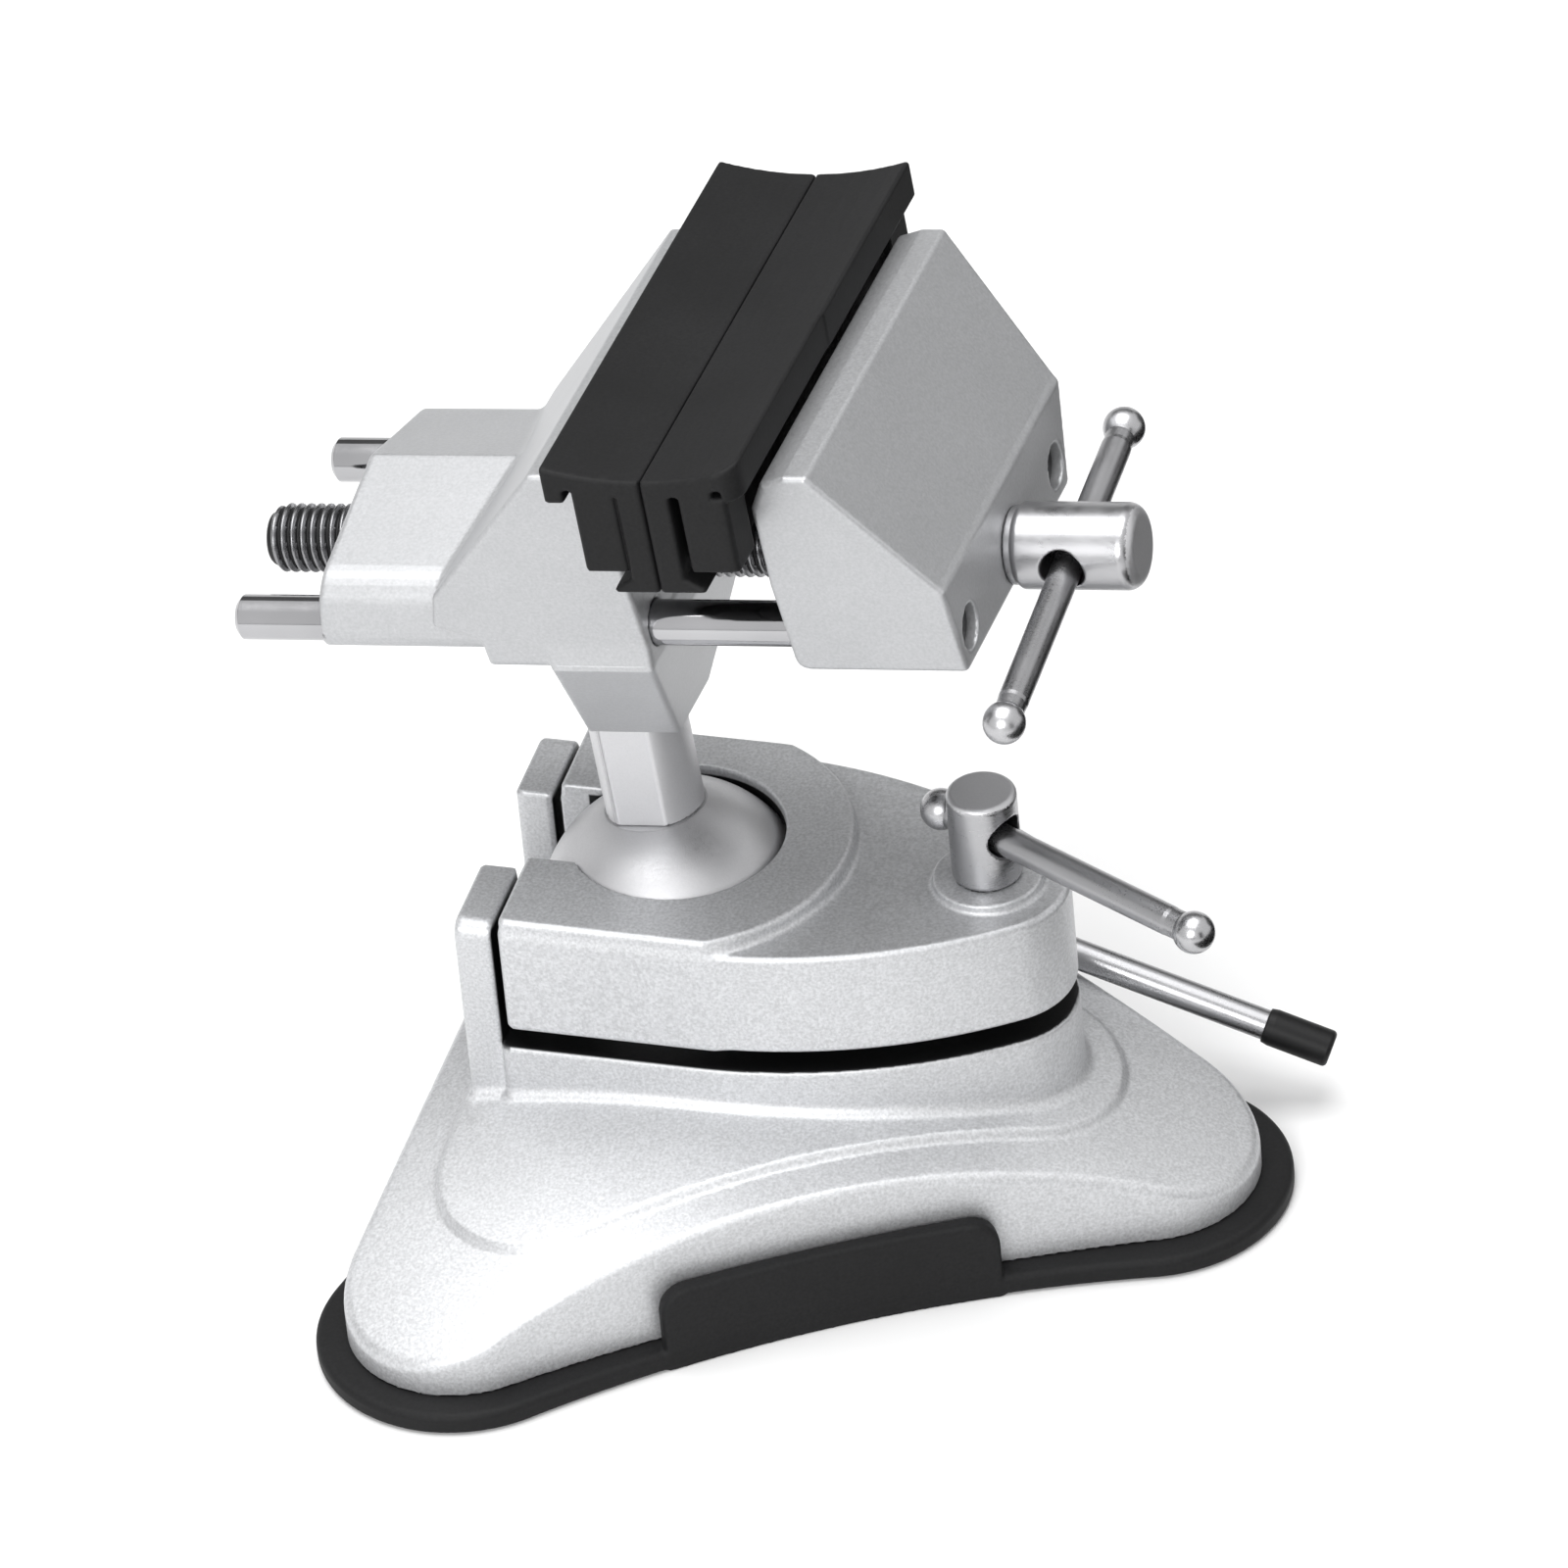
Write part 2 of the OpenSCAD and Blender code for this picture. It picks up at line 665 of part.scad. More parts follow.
// Fixed jaw: one casting of neck, wedge, jaw and the guide block that carries the rods and the lead screw
moving_face = fixed_face + 2 * facing_t;
screw_bore_r = screw_r + fit;
fixed_ridge = 9.4;
fixed_foot = 29.9;
fixed_foot_rise = 8;
fixed_heel = 31.5;
fixed_heel_rise = 2.2;
fixed_toe = 24.9;
fixed_toe_drop = 0.5;
neck_end_drop = 4.9;
neck_l = jaw_floor - neck_end_drop - neck_foot;
wedge_foot_drop = 22.8;
wedge_foot_h = jaw_floor - wedge_foot_drop;
wedge_foot_back = 5;
wedge_foot_front = 9;
wedge_foot_half = 7;
wedge_top_half = 26;
guide_end = 34.9;
guide_end_top = 32.3;
guide_wall = 0.6;
guide_crest_rise = 14.1;
guide_shoulder_rise = 7.6;
guide_corner_r = rod_r + guide_wall;
guide_half = rod_v + guide_corner_r;
screw_wall = 1.7;
screw_boss_r = screw_r + screw_wall;

// Keeps children within the jaws' sloping ends
module between_ends(from_u, to_u) {
    low_half = jaw_half_w - jaw_draft_share * (jaw_top - jaw_floor);
    intersection() {
        children();
        translate([from_u, 0, 0]) rotate([90, 0, 90]) linear_extrude(to_u - from_u) polygon([
            [-low_half, jaw_floor], [low_half, jaw_floor], [jaw_half_w, jaw_top], [-jaw_half_w, jaw_top]
        ]);
    }
}

module fixed_jaw() {
    color([0.8, 0.8, 0.8]) in_head() difference() {
        union() {
            between_ends(-guide_end, fixed_face) across(jaw_half_w) polygon([
                [fixed_face, jaw_floor], [fixed_face, jaw_top], [fixed_face - fixed_ridge, jaw_top],
                [fixed_face - fixed_foot, rail_h + fixed_foot_rise],
                [fixed_face - fixed_heel, rail_h + fixed_heel_rise],
                [fixed_face - fixed_toe, rail_h - fixed_toe_drop], [fixed_face - fixed_toe, jaw_floor]
            ]);
            guide_block();
            wedge();
            translate([0, 0, neck_foot + fit]) cylinder(r = neck_r, h = neck_l, $fn = plain);
            translate([0, 0, spigot_end]) cylinder(r = spigot_r, h = spigot_l + over, $fn = plain);
        }
        for (side = [-1, 1]) along_u(-guide_end - over, fixed_face + over, rod_r + fit, side * rod_v);
        along_u(-guide_end - over, fixed_face + over, screw_bore_r);
        translate([0, 0, spigot_end - over]) {
            cylinder(r = ball_screw_r + fit, h = spigot_l / 2 + 2 * over, $fn = plain);
        }
    }
}

// The block is roofed with a single ridge, its lower corners are rounded about the rods, and a boss under it holds
// the lead screw's nut thread
module guide_block() {
    intersection() {
        translate([-guide_end, 0, rail_h]) rotate([90, 0, 90]) linear_extrude(guide_end + fixed_face) {
            polygon([
                [-guide_half, 0], [guide_half, 0], [guide_half, guide_shoulder_rise],
                [0, guide_crest_rise], [-guide_half, guide_shoulder_rise]
            ]);
            translate([-rod_v, -guide_corner_r]) square([2 * rod_v, guide_corner_r]);
            circle(screw_boss_r, $fn = plain);
            for (side = [-1, 1]) translate([side * rod_v, 0]) circle(guide_corner_r, $fn = plain);
        }
        translate([0, 0, rail_h]) across(guide_half) polygon([
            [-guide_end, -screw_boss_r], [fixed_face, -screw_boss_r], [fixed_face, guide_crest_rise],
            [-guide_end_top, guide_crest_rise]
        ]);
    }
}

module wedge() {
    intersection() {
        across(wedge_top_half) polygon([
            [-wedge_foot_back, wedge_foot_h], [wedge_foot_front, wedge_foot_h], [fixed_face, jaw_floor],
            [fixed_face, rail_h], [0, rail_h], [0, jaw_floor]
        ]);
        translate([-wedge_foot_back, 0, 0]) rotate([90, 0, 90]) linear_extrude(wedge_foot_back + fixed_face) {
            polygon([
                [-wedge_foot_half, wedge_foot_h], [wedge_foot_half, wedge_foot_h], [wedge_top_half, jaw_floor],
                [wedge_top_half, rail_h], [-wedge_top_half, rail_h], [-wedge_top_half, jaw_floor]
            ]);
        }
    }
}

// Jaw pads: rubber, with a flange over the jaw, a facing at the seam and a block behind a narrow groove
facing_rise = 6.4;
seam_rise = 4.2;
lip_rise = 0.6;
flange_rise = 2.6;
flange_w = 14.4;
lip_w = 2.9;
plate_w = 3.9;
groove_open = 1.3;
groove_rise = 1.6;
block_drop = 10.4;
facing_drop = 13.8;
foot_w = 7.8;
foot_t = 2.4;
seam_gap = 0.1;

module jaw_pad_outline() {
    back = facing_t - loose;
    translate([0, jaw_top]) polygon([
        [seam_gap / 2, seam_rise], [flange_w, facing_rise], [flange_w, lip_rise], [flange_w - lip_w, lip_rise],
        [flange_w - lip_w, flange_rise], [back, flange_rise], [back, -block_drop],
        [plate_w + groove_open, -block_drop], [plate_w + groove_open, groove_rise], [plate_w, groove_rise],
        [plate_w, foot_t - facing_drop], [foot_w, -facing_drop], [seam_gap / 2, -facing_drop]
    ]);
}

module fixed_jaw_pad() {
    color([0.13, 0.13, 0.13]) in_head() translate([fixed_face + facing_t, 0, 0]) across(facing_half_l) {
        mirror([1, 0]) jaw_pad_outline();
    }
}

module moving_jaw_pad() {
    color([0.13, 0.13, 0.13]) in_head() translate([fixed_face + facing_t, 0, 0]) across(facing_half_l) {
        jaw_pad_outline();
    }
}

// Moving jaw: solid casting on the ends of the guide rods
moving_edge = 1;
moving_edge_drop = 5.8;
moving_crown = 7.1;
moving_ridge = 10.4;
moving_foot = 24.5;
moving_foot_rise = 10.8;
moving_round = 1.2;
clip_r = 8;
clip_t = 1;
outer_face = moving_face + moving_depth;

module moving_jaw() {
    foot_h = rail_h + moving_foot_rise;
    color([0.8, 0.8, 0.8]) in_head() difference() {
        between_ends(moving_face, outer_face) translate([moving_face, 0, 0]) across(jaw_half_w) polygon([
            [moving_round, jaw_floor], [0, jaw_floor + moving_round], [0, foot_h],
            [moving_edge, jaw_top - moving_edge_drop], [moving_crown / 2, jaw_top - moving_edge],
            [moving_crown, jaw_top], [moving_ridge, jaw_top],
            [moving_foot, foot_h], [moving_depth, foot_h - moving_edge], [moving_depth, jaw_floor]
        ]);
        for (side = [-1, 1]) along_u(moving_face - over, outer_face + over, rod_r + fit, side * rod_v);
        along_u(moving_face - over, outer_face + over, screw_bore_r);
        along_u(moving_face - over, moving_face + clip_t + 2 * fit, clip_r + loose);
    }
}

// Guide rods: fixed in the moving jaw, sliding in the guide block
module guide_rod(side) {
    color([0.75, 0.75, 0.77]) in_head() along_u(outer_face - rod_l, outer_face, rod_r, side * rod_v);
}

module guide_rod_front() {
    guide_rod(-1);
}

module guide_rod_back() {
    guide_rod(1);
}

// Lead screw: a ridge for each turn of the thread, a plain journal in the moving jaw and a round head
thread_depth = 0.87;
crest_from_share = 0.42;
crest_to_share = 0.58;
screw_start = outer_face - screw_l;
thread_end = moving_face - 2 * screw_pitch;
turns = floor((thread_end - screw_start - 2 * screw_pitch) / screw_pitch);
screw_collar_r = 5.6;
screw_collar_t = 1.2;
screw_round = 1.5;
clip_groove_r = 3.8;

module lead_screw() {
    core = screw_r - thread_depth;
    half = screw_pitch / 2;
    first = thread_end - turns * screw_pitch;
    head = outer_face + fit;
    tip = head + screw_head_l;
    color([0.7, 0.7, 0.72]) difference() {
        in_head() translate([0, 0, rail_h]) rotate([0, 90, 0]) rotate_extrude($fn = plain) polygon(concat(
            [[0, screw_start], [core - half / 2, screw_start], [core, first]],
            [for (k = [0:turns - 1]) each [
                [core, first + k * screw_pitch], [screw_r, first + (k + crest_from_share) * screw_pitch],
                [screw_r, first + (k + crest_to_share) * screw_pitch]
            ]],
            [
                [core, thread_end], [screw_r, thread_end + half], [screw_r, moving_face],
                [clip_groove_r, moving_face], [clip_groove_r, moving_face + clip_t + fit],
                [screw_r, moving_face + clip_t + fit], [screw_r, head],
                [screw_collar_r, head], [screw_collar_r, head + screw_collar_t],
                [screw_head_r, head + screw_collar_t], [screw_head_r, tip - screw_round],
                [screw_head_r - screw_round, tip], [0, tip]
            ]
        ));
        in_screw_hole() translate([0, 0, -screw_head_r - over]) {
            cylinder(r = cross_hole_r, h = 2 * screw_head_r + 2 * over, $fn = plain);
        }
    }
}

module in_screw_hole() {
    in_head() translate([outer_face + screw_hole_u, 0, rail_h]) rotate([screw_bar_slope - 90, 0, 0]) children();
}

// Clip in the screw's groove, sunk in the moving jaw's face
module screw_clip() {
    color([0.35, 0.35, 0.37]) in_head() difference() {
        along_u(moving_face + fit, moving_face + clip_t, clip_r);
        along_u(moving_face - over, moving_face + clip_t + over, clip_groove_r + fit);
        translate([moving_face - over, -clip_groove_r + clip_t / 2, rail_h - 2 * clip_r]) {
            cube([clip_t + 2 * over, 2 * clip_groove_r - clip_t, 2 * clip_r]);
        }
    }
}

screw_bar_start = -screw_bar_l / 2 - screw_bar_slip;

module screw_bar() {
    color([0.7, 0.7, 0.72]) in_screw_hole() translate([0, bar_drop, 0]) bar(screw_bar_start, screw_bar_l);
}

module screw_bar_balls() {
    color([0.75, 0.75, 0.77]) in_screw_hole() translate([0, bar_drop, 0]) knobs(screw_bar_start, screw_bar_l);
}

suction_pad();
base_casting();
pressure_plate();
lift_stud();
stud_nut();
cam_shaft();
shaft_clip();
lever_rod();
lever_grip();
clamp_cap();
clamp_screw();
clamp_bar();
clamp_bar_balls();
ball();
ball_screw();
fixed_jaw();
fixed_jaw_pad();
moving_jaw();
moving_jaw_pad();
guide_rod_front();
guide_rod_back();
lead_screw();
screw_clip();
screw_bar();
screw_bar_balls();
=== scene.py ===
"""Suction base vise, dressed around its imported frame. The castings and moulded rubber are distance fields
worked out with numpy and netted into meshes, the turned steel parts are profiles carried round an axis. All
sizes in the sections are millimetres in the frame of the part, and become metres when a mesh is made."""
import math

import bpy
import numpy as np
from mathutils import Matrix


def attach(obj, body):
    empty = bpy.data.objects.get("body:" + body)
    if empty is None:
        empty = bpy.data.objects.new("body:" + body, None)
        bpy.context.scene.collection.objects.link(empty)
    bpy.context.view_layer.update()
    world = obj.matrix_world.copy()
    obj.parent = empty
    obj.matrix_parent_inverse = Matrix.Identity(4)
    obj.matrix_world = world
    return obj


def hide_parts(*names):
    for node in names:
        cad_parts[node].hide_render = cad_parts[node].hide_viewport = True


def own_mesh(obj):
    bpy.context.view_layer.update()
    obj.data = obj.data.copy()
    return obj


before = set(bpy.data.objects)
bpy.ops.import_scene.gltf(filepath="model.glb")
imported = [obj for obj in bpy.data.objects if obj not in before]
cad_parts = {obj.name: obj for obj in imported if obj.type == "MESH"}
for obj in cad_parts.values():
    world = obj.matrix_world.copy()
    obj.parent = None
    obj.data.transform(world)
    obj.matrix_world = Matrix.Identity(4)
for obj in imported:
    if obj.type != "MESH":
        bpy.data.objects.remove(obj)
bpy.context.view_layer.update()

# Camera: a long lens about two metres away, above and to the right of the front, and tipped a little, as in
# the photograph. Its axes are worked out from azimuth, elevation and roll.
CAMERA_PLACE = (0.5094, -1.4562, 1.2262)
CAMERA_AZIMUTH, CAMERA_ELEVATION, CAMERA_ROLL = np.radians([18.949, 36.976, 5.610])
LENS_PIXELS = 13810.6
IMAGE_PIXELS = 1600
back = np.array([
    math.sin(CAMERA_AZIMUTH) * math.cos(CAMERA_ELEVATION),
    -math.cos(CAMERA_AZIMUTH) * math.cos(CAMERA_ELEVATION),
    math.sin(CAMERA_ELEVATION),
])
level = np.array([math.cos(CAMERA_AZIMUTH), math.sin(CAMERA_AZIMUTH), 0.0])
above = np.cross(back, level)
camera_x = level * math.cos(CAMERA_ROLL) - above * math.sin(CAMERA_ROLL)
camera_y = level * math.sin(CAMERA_ROLL) + above * math.cos(CAMERA_ROLL)
lens = bpy.data.cameras.new("camera")
lens.sensor_width = 36.0
lens.lens = LENS_PIXELS / IMAGE_PIXELS * lens.sensor_width
lens.clip_end = 20.0
camera = bpy.data.objects.new("camera", lens)
axes = np.eye(4)
axes[:3, 0], axes[:3, 1], axes[:3, 2], axes[:3, 3] = camera_x, camera_y, back, CAMERA_PLACE
camera.matrix_world = Matrix(axes.tolist())
bpy.context.scene.collection.objects.link(camera)
bpy.context.scene.camera = camera
bpy.context.scene.view_settings.view_transform = "Standard"


def colour(hex_value):
    """Linear colour of an sRGB hex value: each channel c becomes c/12.92 or ((c + 0.055)/1.055)^2.4."""
    channels = [int(hex_value[i:i + 2], 16) / 255.0 for i in (1, 3, 5)]
    return tuple(c / 12.92 if c <= 0.04045 else ((c + 0.055) / 1.055) ** 2.4 for c in channels) + (1.0,)


def add(tree, kind, inputs=None, **settings):
    """Adds a shader node with its settings, and links or sets each named or numbered input."""
    node = tree.nodes.new(kind)
    for key, value in settings.items():
        setattr(node, key, value)
    for key, value in (inputs or {}).items():
        if isinstance(value, bpy.types.NodeSocket):
            tree.links.new(value, node.inputs[key])
        else:
            node.inputs[key].default_value = value
    return node


# Studio: a pale table top, a white surround, two soft lamps, and grey cards that only reflections see, which
# give bright metal its dark streaks.
MM = 0.001
FLOOR_HALF = 3.0
SKY_ON_SURFACES = 0.42
SKY_SEEN = 1.0


def pattern_scale(size):
    """Scale of a pattern whose features have a size in millimetres: one over the size in metres."""
    return 1.0 / (size * MM)


def empty_material(name):
    """A new material with no nodes but its output, and that output."""
    material = bpy.data.materials.new(name)
    material.use_nodes = True
    material.node_tree.nodes.clear()
    output = add(material.node_tree, "ShaderNodeOutputMaterial")
    return material, material.node_tree, output


def table_top():
    """Pale matt laminate, with a faint unevenness at 30 mm that keeps the shadow soft."""
    material, tree, output = empty_material("pale_laminate")
    place = add(tree, "ShaderNodeTexCoord").outputs["Object"]
    cloud = add(tree, "ShaderNodeTexNoise", {"Vector": place, "Scale": pattern_scale(30.3), "Detail": 2.0})
    tone = add(tree, "ShaderNodeMix", {
        0: cloud.outputs["Fac"], 6: colour("#f6f6f6"), 7: colour("#fafafa"),
    }, data_type="RGBA")
    shader = add(tree, "ShaderNodeBsdfPrincipled", {
        "Base Color": tone.outputs[2], "Roughness": 0.7, "Specular IOR Level": 0.1,
    })
    tree.links.new(shader.outputs[0], output.inputs[0])
    return material


floor_mesh = bpy.data.meshes.new("table_top")
floor_corners = [(sx * FLOOR_HALF, sy * FLOOR_HALF, 0) for sx, sy in ((-1, -1), (1, -1), (1, 1), (-1, 1))]
floor_mesh.from_pydata(floor_corners, [], [(0, 1, 2, 3)])
floor = bpy.data.objects.new("table_top", floor_mesh)
floor.data.materials.append(table_top())
bpy.context.scene.collection.objects.link(floor)

world = bpy.data.worlds.new("white_surround")
world.use_nodes = True
world.node_tree.nodes.clear()
rays = add(world.node_tree, "ShaderNodeLightPath")
seen = add(world.node_tree, "ShaderNodeMath", {
    0: rays.outputs["Is Camera Ray"], 1: rays.outputs["Is Glossy Ray"],
}, operation="MAXIMUM")
seen = add(world.node_tree, "ShaderNodeMath", {
    0: seen.outputs[0], 1: rays.outputs["Is Transmission Ray"],
}, operation="MAXIMUM")
strength = add(world.node_tree, "ShaderNodeMix", {
    0: seen.outputs[0], 2: SKY_ON_SURFACES, 3: SKY_SEEN,
}, data_type="FLOAT")
sky = add(world.node_tree, "ShaderNodeBackground", {
    "Color": colour("#ffffff"), "Strength": strength.outputs[0],
})
add(world.node_tree, "ShaderNodeOutputWorld", {"Surface": sky.outputs[0]})
bpy.context.scene.world = world


def facing(place, target):
    """Matrix that puts a lamp or card at a place with its -Z axis towards a target."""
    z = np.array(place, float) - target
    z /= np.linalg.norm(z)
    x = np.cross([0.0, 0.0, 1.0], z) if abs(z[2]) < 0.99 else np.array([1.0, 0.0, 0.0])
    x /= np.linalg.norm(x)
    m = np.eye(4)
    m[:3, 0], m[:3, 1], m[:3, 2], m[:3, 3] = x, np.cross(z, x), z, place
    return Matrix(m.tolist())


MIDDLE = np.array([0.0, 0.0, 0.07])
for name, place, size, power in (
    ("lamp_front", (0.0, -1.25, 0.7), 0.7, 10.0),
    ("lamp_over", (-0.1, 0.0, 1.3), 1.1, 17.0),
):
    lamp = bpy.data.lights.new(name, "AREA")
    lamp.size = size
    lamp.energy = power
    lamp_object = bpy.data.objects.new(name, lamp)
    lamp_object.matrix_world = facing(place, MIDDLE)
    bpy.context.scene.collection.objects.link(lamp_object)


def card(name, place, width, height, tone, target=MIDDLE):
    """A flat dark card that reflections alone see."""
    mesh = bpy.data.meshes.new(name)
    w, h = width / 2, height / 2
    corners = np.array([(-w, -h, 0), (w, -h, 0), (w, h, 0), (-w, h, 0)])
    m = np.array(facing(place, target))
    mesh.from_pydata((corners @ m[:3, :3].T + m[:3, 3]).tolist(), [], [(0, 1, 2, 3)])
    material, tree, output = empty_material(name + "_paper")
    light = add(tree, "ShaderNodeEmission", {"Color": colour(tone), "Strength": 1.0})
    tree.links.new(light.outputs[0], output.inputs[0])
    mesh.materials.append(material)
    obj = bpy.data.objects.new(name, mesh)
    for ray in ("camera", "diffuse", "shadow", "transmission", "volume_scatter"):
        setattr(obj, "visible_" + ray, False)
    bpy.context.scene.collection.objects.link(obj)


card("card_back", (-0.35, 1.15, 0.8), 1.9, 0.8, "#707070")
card("card_right", (1.3, -0.9, 0.35), 0.5, 1.0, "#303030")
card("card_left", (-1.3, -0.2, 0.5), 0.35, 1.1, "#3a3a3a")
card("card_front", (0.25, -1.4, 0.25), 0.5, 0.3, "#4a4a4a")
# card_low lies flat on the table behind the vise: a dark sheet that reflections see in place of the table's
# shaded part, painted shade.
card("card_low", (0.48, 0.32, 0.001), 0.75, 1.0, "#242424", (0.48, 0.32, -1.0))
card("card_behind", (0.75, 1.15, 0.25), 1.0, 0.6, "#343434")

# Base casting: a hollow shell of die-cast aluminium with three rounded lobes, a low dome, a raised terrace
# and a drop-shaped column, sprayed with sand-textured silver paint. Two posts on the left guide the cap.
PAD_T = 3.4
LOBE_AT = 58.8
SKIRT_R, SKIRT_SIDE, SKIRT_WALL, SKIRT_EDGE = 16.6, 41.7, 3.5, 1.3
DOME_TOP = 27.0
DOME_R = 160.0
TERRACE_AT, TERRACE_R, TERRACE_SIDE = 40.0, 16.0, 35.2
TERRACE_RISE, TERRACE_EDGE = 1.0, 0.7
COLUMN_FOOT, COLUMN_TOP = 13.5, 32.8
COLUMN_HALF, COLUMN_LEFT = 24.0, 29.0
COLUMN_SIDE_R, COLUMN_CORNER, COLUMN_FILLET = 79.0, 1.2, 1.6
POST_LEFT, POST_RIGHT, POST_TOP = -34.5, -28.9, 53.7
POST_OUTER, POST_INNER, POST_CORNER = 23.2, 8.6, 2.5
SILL_HALF = 9.5
CAST_EDGE, SOFT_EDGE = 0.6, 0.4
TERRACE_FILLET = 0.8
CLAMP_X = 38.66
CLAMP_BORE_R, CLAMP_BORE_FLOOR = 4.05, 16.8
CLAMP_BOSS_R, CLAMP_BOSS_FLOOR = 7.5, 13.3
BALL_AT = np.array([-8.4, 0.0, 41.6])
BALL_R = 20.0
SEAT_BOSS_R, SEAT_BOSS_FLOOR = 15.0, 17.6
FIT = 0.05
CAM_AT = (26.0, 27.3)
CAM_BOSS_R, CAM_BOSS_END = 7.0, 22.2
SHAFT_BORE_R, SHAFT_BORE_END, SHAFT_HEAD_BORE_R = 3.55, 13.0, 4.3
CRANK_ROOM = (19.0, 31.0)
CRANK_ROOM_HALF = 7.0


def meet(a, b, r):
    """Distance to what two solids share, its edge rounded: the smaller of -r and the larger of a and b, plus
    the length of (r + a, r + b), each taken as zero where it is negative."""
    return np.minimum(-r, np.maximum(a, b)) + np.hypot(np.maximum(r + a, 0), np.maximum(r + b, 0))


def join(a, b, r):
    """Distance to both solids together, with a fillet between them: the mirror image of meet."""
    return -meet(-a, -b, r)


def lobed(x, y, distance, lobe_r, side):
    """Distance to a rounded triangle. Folded to one sixth, a point belongs to the lobe's circle on one side
    of the line from the lobe's centre to the hollow side's centre, and to the hollow side's on the other."""
    bow = lobe_r - side
    centre = (distance * distance - bow * bow) / (distance + 2 * bow)
    turn = np.arctan2(y, x)
    turn = np.abs(turn - np.round(turn / (2 * np.pi / 3)) * (2 * np.pi / 3))
    far = np.hypot(x, y)
    px, py = far * np.cos(turn), far * np.sin(turn)
    sx, sy = centre * math.cos(math.pi / 3), centre * math.sin(math.pi / 3)
    on_side = (distance - sx) * (py - sy) - (0 - sy) * (px - sx) < 0
    hollow = centre - side - np.hypot(px - sx, py - sy)
    return np.where(on_side, hollow, np.hypot(px - distance, py) - lobe_r)


def drop(x, y, left):
    """Distance to the drop-shaped outline: straight beside the ball, bowed towards the round end."""
    low = COLUMN_SIDE_R - COLUMN_HALF
    reach = math.hypot(CLAMP_X, low)
    y = np.abs(y)
    at_end = CLAMP_X * (y + low) - low * x < 0
    end = np.hypot(x - CLAMP_X, y) - (COLUMN_SIDE_R - reach)
    bowed = np.where(at_end, end, np.hypot(x, y + low) - COLUMN_SIDE_R)
    return meet(np.where(x < 0, y - COLUMN_HALF, bowed), -left - x, COLUMN_CORNER)


def ball_gap(x, y, z, extra=0.0):
    """Distance to a ball about the ball joint's centre."""
    return np.sqrt((x - BALL_AT[0]) ** 2 + y ** 2 + (z - BALL_AT[2]) ** 2) - BALL_R - extra


def slab(v, low, high):
    """Distance to the layer between two heights."""
    return np.maximum(low - v, v - high)


def base_field(x, y, z):
    """Skirt, terrace, column and posts joined with fillets, less the hollow, the seat and the bores."""
    centre = DOME_TOP - DOME_R
    bulge = np.sqrt(x ** 2 + y ** 2 + (z - centre) ** 2) - DOME_R
    skirt = meet(lobed(x, y, LOBE_AT, SKIRT_R, SKIRT_SIDE), bulge, SKIRT_EDGE)
    terrace = meet(lobed(x, y, TERRACE_AT, TERRACE_R, TERRACE_SIDE), bulge - TERRACE_RISE, TERRACE_EDGE)
    body = meet(join(skirt, terrace, TERRACE_FILLET), PAD_T - z, CAST_EDGE / 2)
    column = meet(drop(x, y, COLUMN_LEFT), slab(z, COLUMN_FOOT, COLUMN_TOP), CAST_EDGE)
    post_layer = slab(x, POST_LEFT, POST_RIGHT)
    corner = meet(np.abs(y) - POST_OUTER, z - POST_TOP, POST_CORNER)
    between = np.maximum(POST_INNER - np.abs(y), COLUMN_FOOT - z)
    post = meet(meet(corner, post_layer, TERRACE_EDGE), between, CAST_EDGE)
    sill = np.maximum(np.abs(y) - SILL_HALF, slab(z, COLUMN_FOOT, COLUMN_TOP))
    column = join(join(column, meet(post_layer, sill, CAST_EDGE), 2 * FIT), post, CAST_EDGE / 2)
    body = join(body, column, COLUMN_FILLET)
    around = np.hypot(x - CAM_AT[0], z - CAM_AT[1])
    boss = meet(around - CAM_BOSS_R, slab(y, 0.0, CAM_BOSS_END), CAST_EDGE)
    body = join(body, np.maximum(boss, z - COLUMN_TOP), TERRACE_FILLET)
    hollow = lobed(x, y, LOBE_AT, SKIRT_R - SKIRT_WALL, SKIRT_SIDE - SKIRT_WALL)
    inner = np.maximum(hollow, bulge + SKIRT_WALL)
    seat_boss = np.maximum(np.hypot(x - BALL_AT[0], y) - SEAT_BOSS_R, SEAT_BOSS_FLOOR - z)
    clamp_boss = np.maximum(np.hypot(x - CLAMP_X, y) - CLAMP_BOSS_R, CLAMP_BOSS_FLOOR - z)
    inner = np.maximum(inner, -np.minimum(seat_boss, clamp_boss))
    body = meet(body, -inner, SOFT_EDGE)
    body = meet(body, -ball_gap(x, y, z, FIT), SOFT_EDGE)
    body = np.maximum(body, -np.maximum(np.hypot(x - CLAMP_X, y) - CLAMP_BORE_R, CLAMP_BORE_FLOOR - z))
    bore = np.maximum(around - SHAFT_BORE_R, -SHAFT_BORE_END - y)
    bore = np.minimum(bore, np.maximum(around - SHAFT_HEAD_BORE_R, CAM_BOSS_END - y))
    room = np.maximum(slab(x, *CRANK_ROOM), np.maximum(np.abs(y) - CRANK_ROOM_HALF, COLUMN_FOOT - z))
    return np.maximum(body, -np.minimum(bore, room))


